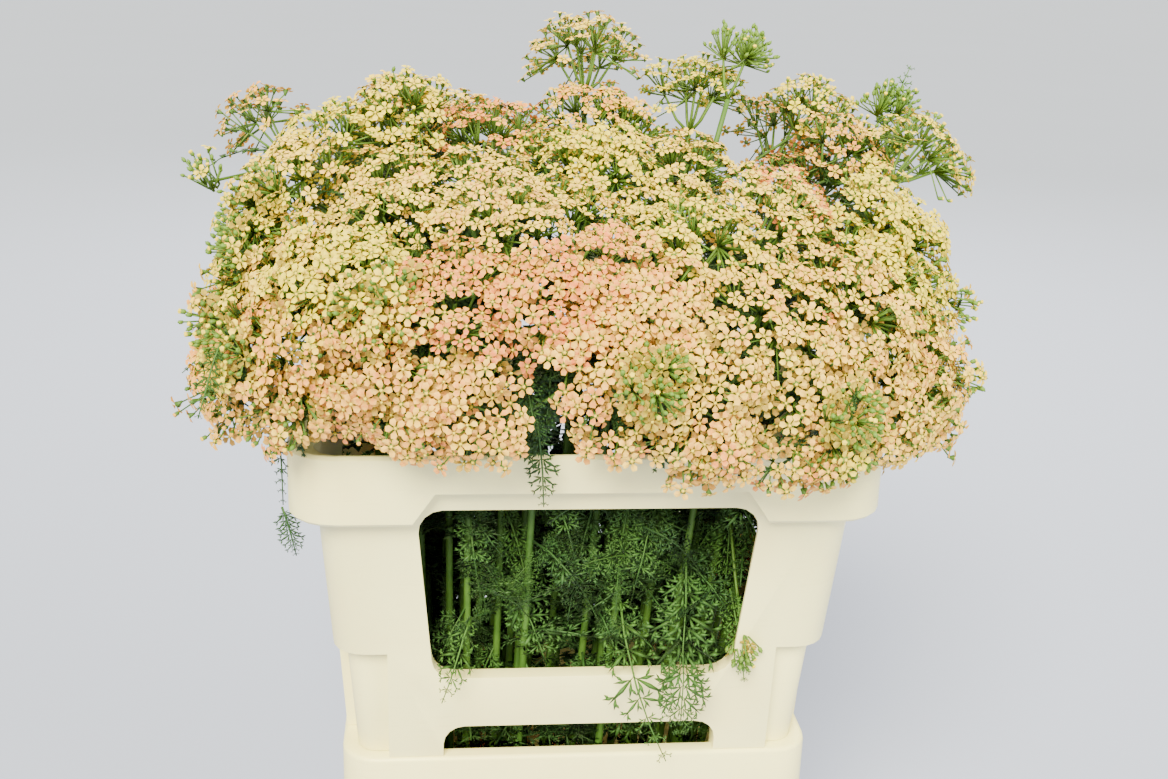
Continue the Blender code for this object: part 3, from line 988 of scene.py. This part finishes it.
def cover(spray):
    """The florets in sight; each cluster bulges, and its florets face out from its middle."""
    chance, radius = spray.chance, spray.radius
    for x, y in sunflower(radius, spray.count, chance, FLORET_SLACK):
        nearest, gap = spray.nearest(x, y)
        bulge = BULGE - BULGE_FALL * min(BULGE_REACH, gap / CLUSTER_RADIUS) ** 2
        spot = spray.spot(x, y, spray.dome(x, y) + bulge + chance.uniform(*FLORET_HEIGHTS))
        away = np.array((x, y)) - spray.clusters[nearest]
        facing = spray.facing(
            x / radius * RIM_LEAN + away[0] * BULGE_LEAN + chance.uniform(-LOOSE_LEAN, LOOSE_LEAN),
            y / radius * RIM_LEAN + away[1] * BULGE_LEAN + chance.uniform(-LOOSE_LEAN, LOOSE_LEAN))
        outer = spray.rise > FLAT_RISE or math.hypot(x, y) > radius * SEEN_FROM
        base = add_floret(spray.heap, spray.kind, spot, facing, chance, outer, spray.scale)
        spray.heap.tube([spray.forks[nearest], base], STALK_RADII, 3, 0.65)


def fill(spray, share):
    """Florets below the surface, darkened with painted shade, which show between the others."""
    chance = spray.chance
    for x, y in sunflower(spray.radius * SHADED_REACH, int(spray.count * share), chance, SHADED_SLACK):
        spot = spray.spot(x, y, spray.dome(x, y) - chance.uniform(*SHADED_DEPTHS))
        facing = spray.facing(chance.uniform(-SHADED_LEAN, SHADED_LEAN), chance.uniform(-SHADED_LEAN, SHADED_LEAN))
        pattern, turn = chance.choice(shaded_florets), turn_to(facing, chance.uniform(0, FULL_TURN))
        tint = spray.kind.warmth + chance.gauss(0, SHADED_SPREAD)
        spray.heap.stamp(pattern, turn, spot, spray.scale, tint, spray.kind.freshness)
        fork = spray.forks[spray.nearest(x, y)[0]]
        spray.heap.tube([fork, spot - facing * 0.0005], STALK_RADII, 3, 0.2)


def hang(spray, count):
    """Florets that have slipped out of a leaning head and hang at its lower rim."""
    chance = spray.chance
    down = np.array((0, 0, -1.0)) + spray.axis * spray.axis[2]
    down /= np.linalg.norm(down) + TINY
    across = np.cross(spray.axis, down)
    for _ in range(count):
        swing = chance.uniform(-HANG_SWING, HANG_SWING)
        way = down * math.cos(swing) + across * math.sin(swing)
        reach = spray.radius * chance.uniform(*HANG_REACH)
        spot = spray.centre + way * reach - spray.axis * chance.uniform(*HANG_DEPTHS)
        facing = spray.axis * 0.8 + way * 0.5 + np.array(shake(chance, HANG_SHAKE))
        facing /= np.linalg.norm(facing)
        base = add_floret(spray.heap, spray.kind, spot, facing, chance, True, spray.scale)
        fork = spray.forks[int(np.linalg.norm(np.array(spray.forks) - spot, axis=1).argmin())]
        spray.heap.tube([fork, (fork + base) / 2 - way * 0.002, base], HANGING_RADII, 3, 0.3)


# A spray may get extra florets below its surface, darkened with painted shade, as a share of its count.
def add_spray(heap, centre, axis, neck, radius, kind, chance, hanging=0, rise=DOME_RISE, scale=1.0,
              old=0.0, leafy=True):
    spray = Spray(heap, centre, axis, neck, radius, kind, chance, rise, scale)
    if leafy:
        back_with_leaves(spray)
    branch(spray)
    cover(spray)
    fill(spray, old)
    hang(spray, hanging)
    return spray.count


trial = Heap()
florets = add_spray(trial, (0, 0, 0.05), (0, 0, 1), (0, 0, 0), HEAD_RADIUS, HeadKind(1, 0.5, 0),
                    random.Random(0))
print("a head of", florets, "florets takes", len(trial.arrays()[1]), "triangles")

# %% [markdown]
# ## Keeping leaves off the plastic
# The foliage fills the collar, but may not poke through its walls. Leaves could be trimmed one
# by one. But the collar's inner size is known at each height, so any leaf point past it is
# simply pushed back in, as a real wall would do. A leaf that hangs out of the front window gets
# the opposite: it bows forward over the window's sill and hangs in front of the wall.

# %% Inner walls
# height, inner half width and inner half depth of the collar, from its foot to its rim
WALL_HEIGHTS = (RIM_Z - 0.2415, RIM_Z - 0.1600, RIM_Z - 0.1480, RIM_Z)
WALL_HALF_WIDTHS = (0.144, 0.154, 0.163, 0.176)
WALL_HALF_DEPTHS = (0.092, 0.102, 0.113, 0.130)
ABOVE_RIM = 0.004
SILL_Z, SILL_REACH, SILL_BLEND = RIM_Z - 0.173, 0.014, 0.025


def inside_collar(points):
    points = points.copy()
    below = points[:, 2] < RIM_Z + ABOVE_RIM
    for axis, halves in ((0, WALL_HALF_WIDTHS), (1, WALL_HALF_DEPTHS)):
        limit = np.interp(points[:, 2], WALL_HEIGHTS, halves)
        points[:, axis] = np.where(below, np.clip(points[:, axis], -limit, limit), points[:, axis])
    return points


def over_sill(points):
    points = points.copy()
    share = np.clip((SILL_Z + SILL_BLEND - points[:, 2]) / SILL_BLEND, 0, 1)
    points[:, 1] -= SILL_REACH * share ** 2 * (3 - 2 * share)
    return points


print("a point in the wall goes to", inside_collar(np.array([[0.2, 0.0, RIM_Z]]))[0].round(3))

# %% [markdown]
# ## Kinds of head
# The photo's heads differ: some are pale, some salmon, some fresh yellow, and a few still green
# and in bud. Each kind is three numbers: the share of its florets that are open, how warm they
# are and how fresh. They could be drawn at random, but the eye knows the bunch by these patches
# of colour, so each kind lists its heads. Those in no list are blushed.

# %% Head kinds
PALE, PEACH, SALMON = HeadKind(0.97, 0.12, 0.20), HeadKind(0.97, 0.50, 0.0), HeadKind(0.98, 0.95, 0.0)
BLUSH, YELLOW, HALF = HeadKind(0.98, 0.30, 0.05), HeadKind(0.93, 0.05, 0.95), HeadKind(0.62, 0.10, 0.70)
GREENISH, BUDS, DROOPING = HeadKind(0.20, 0.2, 0.75), HeadKind(0.0, 0.1, 0.9), HeadKind(0.66, 0.60, 0.12)
HEADS_OF_KIND = (
    (PALE, (1, 4, 5, 6, 9, 12, 13, 16, 22, 23, 26, 52)),
    (PEACH, (2, 19, 21, 24, 29, 46, 47)),
    (SALMON, (3, 17, 18, 28)),
    (YELLOW, (8, 11, 20, 27, 32)),
    (HALF, (0, 15, 25, 33, 42, 53)),
    (BUDS, (7,)),
    (DROOPING, (43, 44, 45)),
)
head_kinds = {number: kind for kind, numbers in HEADS_OF_KIND for number in numbers}
# heads at the front rim that are held a little away from their solids, and the small one
HEAD_MOVES = {44: (0, 0, 0.008), 45: (0, 0, 0.014), 46: (0, 0, 0.018), 47: (-0.022, 0, 0.010),
              48: (0, 0, 0.006)}
SMALL_HEAD, SMALL_HEAD_SHARE = 47, 0.74
print(len(places) - len(head_kinds), "blushed heads and", len(head_kinds), "of other kinds")

# %% [markdown]
# ## Smaller sprays
# Between the big heads the photo shows smaller ones, which sit on side branches of the same
# stems. Random ones would fill the gaps too, but these are what gives the bunch its outline, so
# each is placed where the photo shows it.

# %% Side sprays
# stem, centre, the way it faces, radius, kind, hanging florets
SIDE_SPRAYS = (
    (47, (-0.004, -0.192, 0.527), (0.0, -0.85, 0.5), 0.036, PEACH, 4),
    (48, (0.006, -0.205, 0.490), (0.1, -0.95, 0.2), 0.030, PEACH, 7),
    (28, (-0.036, -0.176, 0.553), (-0.1, -0.8, 0.6), 0.040, SALMON, 4),
    (29, (0.026, -0.186, 0.545), (0.0, -0.8, 0.6), 0.036, PEACH, 2),
    (14, (-0.004, -0.160, 0.575), (0.0, -0.6, 0.8), 0.036, SALMON, 2),
    (12, (-0.205, -0.030, 0.612), (-0.5, -0.2, 0.8), 0.040, PALE, 4),
    (11, (-0.178, 0.000, 0.634), (-0.3, -0.1, 0.9), 0.042, YELLOW, 4),
    (25, (-0.232, -0.060, 0.588), (-0.8, -0.3, 0.5), 0.034, GREENISH, 4),
    (10, (-0.140, 0.060, 0.650), (-0.2, 0.0, 1.0), 0.034, BLUSH, 2),
    (17, (0.222, -0.030, 0.590), (0.5, -0.3, 0.7), 0.042, YELLOW, 4),
    (19, (0.212, 0.050, 0.622), (0.4, -0.2, 0.8), 0.042, PEACH, 4),
    (32, (0.246, -0.060, 0.560), (0.8, -0.4, 0.4), 0.036, YELLOW, 4),
    (20, (0.190, 0.100, 0.650), (0.2, -0.2, 0.9), 0.036, HALF, 2),
    (33, (0.250, 0.080, 0.652), (0.3, -0.2, 0.9), 0.024, BUDS, 0),
    (49, (0.120, -0.205, 0.452), (0.1, -0.9, -0.3), 0.024, DROOPING, 6),
    (48, (0.070, -0.212, 0.460), (0.0, -0.9, -0.2), 0.024, DROOPING, 5),
    (49, (0.152, -0.205, 0.460), (0.2, -0.9, -0.2), 0.022, GREENISH, 5),
    (50, (0.198, -0.176, 0.462), (0.4, -0.8, -0.2), 0.028, BLUSH, 5),
    (51, (0.232, -0.146, 0.465), (0.6, -0.7, -0.2), 0.028, BLUSH, 5),
    (45, (-0.186, -0.160, 0.482), (-0.5, -0.8, 0.0), 0.026, DROOPING, 5),
    (46, (-0.150, -0.178, 0.482), (-0.2, -0.9, 0.0), 0.026, DROOPING, 3),
    (45, (-0.216, -0.130, 0.486), (-0.7, -0.6, 0.0), 0.026, DROOPING, 5),
    (46, (-0.110, -0.194, 0.484), (-0.1, -0.9, 0.0), 0.030, PEACH, 5),
    (48, (0.028, -0.222, 0.516), (0.1, -0.9, 0.4), 0.026, BUDS, 0),
    (27, (-0.141, -0.186, 0.553), (-0.3, -0.8, 0.5), 0.032, GREENISH, 0),
    (44, (-0.244, -0.128, 0.522), (-0.6, -0.8, 0.2), 0.024, GREENISH, 2),
    (45, (-0.228, -0.162, 0.514), (-0.4, -0.9, 0.3), 0.024, GREENISH, 2),
    (26, (-0.238, -0.095, 0.559), (-0.7, -0.6, 0.3), 0.024, GREENISH, 0),
    (49, (0.152, -0.218, 0.492), (0.2, -0.9, 0.2), 0.022, BUDS, 0),
    (1, (0.040, 0.060, 0.634), (0.0, -0.4, 0.9), 0.028, GREENISH, 0),
    (0, (0.021, -0.030, 0.622), (0.1, -0.5, 0.9), 0.036, HALF, 2),
    (11, (-0.126, 0.020, 0.655), (-0.1, -0.3, 1.0), 0.036, HALF, 2),
    (18, (0.235, 0.060, 0.622), (0.3, -0.3, 0.9), 0.032, GREENISH, 0),
    (16, (0.205, -0.080, 0.592), (0.4, -0.6, 0.6), 0.034, YELLOW, 2),
    (24, (-0.262, -0.020, 0.606), (-0.4, -0.2, 0.9), 0.015, GREENISH, 0),
    (43, (-0.256, -0.080, 0.528), (-0.9, -0.3, -0.2), 0.016, DROOPING, 4),
    (44, (-0.250, -0.105, 0.482), (-0.9, -0.4, -0.3), 0.020, GREENISH, 4),
    (53, (0.276, -0.050, 0.516), (0.9, -0.3, -0.1), 0.016, GREENISH, 2),
    (52, (0.272, -0.085, 0.470), (0.9, -0.4, -0.2), 0.016, GREENISH, 2),
    (50, (0.113, -0.131, 0.282), (0.1, -0.6, -0.8), 0.012, BUDS, 3),
)
print(len(SIDE_SPRAYS), "side sprays")

# %% [markdown]
# ## Single leaves
# A few leaves are seen one by one: over the collar's rim, out of its window, up between the
# heads, and dark ones inside, which close the view through the back window. They are listed
# one by one as well, because a random one would not hang where the photo has it.

# %% Lone leaves
# stem, root, way, face, length, bend, freshness, width, kind
LONE_LEAVES = (
    (47, (-0.040, -0.172, 0.476), (0.15, -0.1, -1.0), (0, -1, 0), 0.058, (0, 0, -0.1), 0.0, 1.2, COARSE),
    (45, (-0.2055, -0.120, 0.472), (0.0, 0.0, -1.0), (-0.5, -1, 0), 0.074, (0, 0, -0.1), 0.0, 0.8, COARSE),
    (45, (-0.2030, -0.127, 0.399), (0.35, 0.0, -1.0), (0, -1, 0), 0.036, (0, 0, -0.1), 0.0, 1.4, COARSE),
    (49, (0.146, -0.176, 0.485), (-0.1, -0.05, -1.0), (0, -1, 0), 0.050, (0, 0, -0.1), 0.0, 1.0, COARSE),
    (27, (-0.112, -0.128, 0.548), (0.1, -0.35, 1.0), (0, -1, 0.3), 0.044, (0, -0.2, 0), 0.35, 1.0, FINE),
    (33, (0.244, 0.085, 0.615), (0.15, -0.1, 1.0), (0, -1, 0.2), 0.060, (0.2, 0, 0), 0.6, 1.2, COARSE),
    (46, (-0.078, -0.104, 0.305), (-0.35, -0.6, -0.75), (0, -1, 0.2), 0.056, (0, 0, -0.2), 0.35, 1.3, SPARSE),
    (48, (0.073, -0.098, 0.345), (-0.02, -0.36, -1), (0, -1, 0.2), 0.118, (0, 0, -0.1), 0.20, 1.25, LACE),
    (48, (0.026, -0.098, 0.32), (0.08, -0.6, -0.9), (0, -1, 0.3), 0.124, (0.25, 0.2, -0.5), 0.38, 1, SPARSE),
    (21, (0.000, 0.095, 0.330), (0.1, 0.0, -1.0), (0, 1, 0), 0.095, (0, 0, -0.1), 0.0, 2.0, BROAD),
    (21, (-0.015, 0.095, 0.265), (0.0, 0.0, -1.0), (0, 1, 0), 0.070, (0, 0, -0.1), 0.0, 2.6, BROAD),
    (21, (-0.040, 0.090, 0.320), (-0.2, 0.0, -1.0), (0, 1, 0), 0.095, (0, 0, -0.1), 0.0, 2.0, BROAD),
    (37, (0.055, 0.090, 0.335), (0.1, 0.0, -1.0), (0, 1, 0), 0.095, (0, 0, -0.1), 0.0, 2.0, BROAD),
    (39, (-0.090, 0.085, 0.340), (0.0, 0.0, -1.0), (0, 1, 0), 0.095, (0, 0, -0.1), 0.0, 2.0, BROAD),
    (49, (0.104, -0.106, 0.325), (0.2, -0.42, -0.9), (0, -1, 0.3), 0.060, (0, 0, -0.3), 0.40, 1.2, FINE),
    (47, (-0.048, -0.165, 0.512), (0.1, -0.5, -0.9), (0, -1, 0.3), 0.050, (0, 0, -0.3), 0.05, 1.3, COARSE),
    (47, (-0.030, -0.150, 0.500), (-0.1, -0.3, -0.9), (0, -1, 0.3), 0.045, (0, 0, -0.3), 0.0, 1.6, BROAD),
    (45, (-0.232, -0.158, 0.52), (-0.3, -0.5, -0.8), (-0.3, -1, 0.3), 0.048, (0, 0, -0.3), 0.25, 1.2, COARSE),
)
print(len(LONE_LEAVES), "lone leaves")

# %% [markdown]
# ## The path of a stem
# A cut stem stands on the bucket's floor, leans on the collar's mouth, and bends out to its head.
# It could be one smooth curve from end to end, but a stem in a bunch is straight where its
# neighbours hold it. So the path is straight up to the mouth, and a Bezier curve from there on,
# which leaves the mouth along the stem's lean and reaches the neck along the head's axis.

# %% Stem path
MOUTH_SHARE, FOOT_SHARE, FOOT_SHIFT = (0.56, 0.46), (0.42, 0.38), -0.022
MOUTH_DROP, FOOT_Z, NECK_DROP = 0.010, 0.0035, 0.045
BEND_SHARES = (0.40, 0.35)
STRAIGHT_STOPS, CURVED_STOPS = 8, 7


def bezier(points, share):
    start, leave, arrive, end = points
    rest = 1 - share
    return (start * rest ** 3 + leave * 3 * share * rest ** 2
            + arrive * 3 * share ** 2 * rest + end * share ** 3)


def stem_path(centre, axis):
    """From the cut end, through the collar's mouth, to the neck under the head."""
    mouth = Vector((centre.x * MOUTH_SHARE[0], centre.y * MOUTH_SHARE[1], RIM_Z - MOUTH_DROP))
    foot = Vector((centre.x * FOOT_SHARE[0] + FOOT_SHIFT, centre.y * FOOT_SHARE[1], FOOT_Z))
    lean = (mouth - foot).normalized()
    neck = centre - axis * NECK_DROP
    span = (neck - mouth).length
    curve = (mouth, mouth + lean * BEND_SHARES[0] * span, neck - axis * BEND_SHARES[1] * span, neck)
    straight = [foot.lerp(mouth, k / STRAIGHT_STOPS) for k in range(STRAIGHT_STOPS)]
    return np.array(straight + [bezier(curve, k / CURVED_STOPS) for k in range(CURVED_STOPS + 1)])


def point_at_height(path, height):
    return np.array([np.interp(height, path[:, 2], path[:, axis]) for axis in range(3)])


paths = [stem_path(centre, axis) for centre, axis, radius in places]
print("the highest neck is at", round(max(path[-1][2] for path in paths), 3), "m")

# %% [markdown]
# ## Leaves along the stem
# Yarrow has leaves all the way up, the largest low down. All in full detail would be too heavy,
# so the detail goes where it is seen: the stems at the front get finer leaves in the window, and
# those at the back get broad, dark ones, which keep daylight out of the bunch.

# %% Stem leaves
LEAF_HEIGHTS = (0.21, 0.27, 0.33, 0.38, 0.42, 0.47, 0.50, 0.53, 0.56, 0.58)
FRONT_LEAF_HEIGHTS = (0.20, 0.22, 0.26, 0.30, 0.34, 0.38)
BACK_LEAF_HEIGHTS = (0.20, 0.22, 0.24, 0.26, 0.28, 0.30, 0.33, 0.36, 0.40, 0.49, 0.52, 0.545)
LEAF_TOP = 0.45
LOW_LENGTHS, HIGH_LENGTHS = (0.065, 0.10), (0.05, 0.075)
FRONT_LENGTHS, BACK_LENGTHS = (0.07, 0.11), (0.08, 0.11)
FRONT_HALF_Y, FRONT_ROW_Y, BACK_ROW_Y = -0.05, -0.070, 0.040


def add_front_leaves(heap, path, chance):
    """Fine leaves that turn their faces to the window."""
    for height in FRONT_LEAF_HEIGHTS:
        root = point_at_height(path, height + chance.uniform(0, 0.05))
        way = (chance.uniform(-0.9, 0.9), chance.uniform(-0.7, 0.2), chance.uniform(-0.9, 0.5))
        add_leaf(heap, root, way, (0, -1, 0.3), chance.uniform(*FRONT_LENGTHS), chance, (0, -0.1, -0.6), FINE,
                 inside_collar, chance.uniform(0.0, 0.5) ** 1.5)


def add_back_leaves(heap, path, chance):
    """Broad leaves; those above the rim point down, so that no tip stands up behind the heads."""
    for height in BACK_LEAF_HEIGHTS:
        root = point_at_height(path, height + chance.uniform(0, 0.03))
        rise = chance.uniform(-0.9, -0.3) if height > LEAF_TOP else chance.uniform(-0.5, 0.5)
        way = (chance.uniform(-0.9, 0.9), chance.uniform(0.2, 0.9), rise)
        add_leaf(heap, root, way, (0, 1, 0.3), chance.uniform(*BACK_LENGTHS), chance, (0, 0.1, -0.2), BROAD,
                 inside_collar, 0.0, 1.4)


def add_stem_leaves(heap, path, chance):
    mouth_y, neck_z = path[STRAIGHT_STOPS][1], path[-1][2]
    for height in LEAF_HEIGHTS:
        if height <= neck_z + 0.02:
            low = height < LEAF_TOP
            root = point_at_height(path, min(height + chance.uniform(-0.02, 0.02), neck_z))
            angle = chance.uniform(0, 2 * math.pi)
            length = chance.uniform(*(LOW_LENGTHS if low else HIGH_LENGTHS))
            kind = COARSE if low and mouth_y < FRONT_HALF_Y else BROAD
            add_leaf(heap, root, (math.cos(angle), math.sin(angle), 0.5), (0, 0, 1), length, chance,
                     (0, 0, -0.6), kind, inside_collar, 0.0 if low else 0.15)
    if mouth_y < FRONT_ROW_Y:
        add_front_leaves(heap, path, chance)
    elif mouth_y > BACK_ROW_Y:
        add_back_leaves(heap, path, chance)


print(sum(path[STRAIGHT_STOPS][1] < FRONT_ROW_Y for path in paths), "stems in front and",
      sum(path[STRAIGHT_STOPS][1] > BACK_ROW_Y for path in paths), "at the back get more leaves")

# %% [markdown]
# ## Side branches
# A side spray needs a branch that leaves its stem at a believable place. The nearest point of
# the stem could always be taken, and does for most. For a spray that hangs at the rim or lower,
# that branch would run level across the window, so it leaves the stem higher up and comes down.

# %% Side branches
BRANCH_DROP, HIGHER_START, LOWEST_STOP = 0.004, 0.09, 4
SIDE_BRANCH_RADII = (0.0015, 0.0013, 0.0011)
NECK_SHARE = 0.95
# Side sprays lower than the second height get florets darkened with painted shade below their surface, at the
# second share.
SMALL_FLORETS_Z, SHADED_FLORETS_Z, LEAFY_Z = 0.57, 0.60, 0.64
SMALL_SCALE, SHADED_SHARE = 0.88, 0.25
WINDOW_TOP = 0.36


def add_side_spray(heap, path, centre, way, radius, kind, hanging, chance):
    centre, way = Vector(centre), Vector(way).normalized()
    neck = centre - way * radius * NECK_SHARE
    if neck.z < RIM_Z:
        start = point_at_height(path, neck.z + HIGHER_START)
    else:
        gaps = np.linalg.norm(path[LOWEST_STOP:] - np.array(neck), axis=1)
        start = path[int(gaps.argmin()) + LOWEST_STOP]
    middle = (Vector(start) + neck) / 2 - Vector((0, 0, BRANCH_DROP))
    heap.tube([start, middle, neck], SIDE_BRANCH_RADII, 4, 0.2)
    add_spray(heap, centre, way, neck, radius, kind, chance, hanging,
              scale=SMALL_SCALE if centre.z > SMALL_FLORETS_Z else 1.0,
              old=SHADED_SHARE if centre.z < SHADED_FLORETS_Z else 0.0, leafy=RIM_Z < centre.z < LEAFY_Z)


def add_lone_leaf(heap, root, way, face, length, bend, fresh, slim, kind, chance):
    in_window = root[1] < 0 and root[2] < WINDOW_TOP
    add_leaf(heap, root, way, face, length, chance, bend, kind, over_sill if in_window else None, fresh, slim)


print("centres of side sprays below the rim:", sum(row[1][2] < RIM_Z for row in SIDE_SPRAYS))

# %% [markdown]
# ## The stems
# Each stem is built whole, as it grew: a tapering tube from its cut end to its neck, its head,
# its side sprays and its leaves. Joining all stems would be simpler, but each is a separate
# thing that can be lifted out, so each becomes one object that stands for its CAD solid. The
# heads on the crown are domed and have smaller florets, those at the rim are flat and droop.

# %% Build the stems
# Each form ends with the share of florets below the surface, darkened with painted shade.
HeadForm = namedtuple("HeadForm", "share rise scale hanging old")
CROWN_FORM = HeadForm(share=0.92, rise=0.24, scale=0.84, hanging=0, old=0.0)
SHOULDER_FORM = HeadForm(share=1.00, rise=0.20, scale=0.91, hanging=3, old=0.2)
FRONT_FORM = HeadForm(share=1.00, rise=0.06, scale=1.00, hanging=6, old=0.4)
BACK_FORM = FRONT_FORM._replace(old=0.15)
STEM_THICK, STEM_THIN, STEM_SIDES = 0.0031, 0.0019, 8
AXIS_SHAKE, HEIGHT_SHIFT = 0.16, (-0.014, 0.012)
FIRST_SEED = 1000


def head_form(number, centre):
    if number < CROWN_HEADS:
        form = CROWN_FORM
    elif number < SHOULDER_HEADS:
        form = SHOULDER_FORM
    else:
        form = FRONT_FORM if centre.y < 0 else BACK_FORM
    if number in TALL_HEADS:
        form = form._replace(hanging=8, old=0.0)
    if number == SMALL_HEAD:
        form = form._replace(share=SMALL_HEAD_SHARE)
    return form


def make_stem(number):
    chance = random.Random(FIRST_SEED + number)
    centre, axis, radius = places[number]
    path, tall, heap = paths[number], number in TALL_HEADS, Heap()
    heap.tube(path, np.linspace(STEM_THICK, STEM_THIN, len(path)), STEM_SIDES, chance.uniform(0.0, 0.12))
    if number < SHOULDER_HEADS and not tall:
        axis = (axis + shake(chance, AXIS_SHAKE)).normalized()
    move = Vector(HEAD_MOVES.get(number, (0, 0, 0)))
    if number < CROWN_HEADS and not tall:
        move.z += chance.uniform(*HEIGHT_SHIFT)
    form = head_form(number, centre)
    add_spray(heap, centre + move, axis, path[-1], radius * form.share, head_kinds.get(number, BLUSH), chance,
              form.hanging, form.rise, form.scale, form.old, leafy=not tall)
    for owner, *spray in SIDE_SPRAYS:
        if owner == number:
            add_side_spray(heap, path, *spray, chance)
    add_stem_leaves(heap, path, chance)
    for owner, *leaf in LONE_LEAVES:
        if owner == number:
            add_lone_leaf(heap, *leaf, chance)
    stem = heap.build(f"yarrow_{number + 1:02d}")
    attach(stem, "root")
    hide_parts(f"flowering_stem_{number + 1:02d}")
    return stem


stems = [make_stem(number) for number in range(len(places))]
triangles = [len(stem.data.polygons) for stem in stems]
print(len(stems), "stems,", sum(triangles), "triangles, at most", max(triangles), "in one")
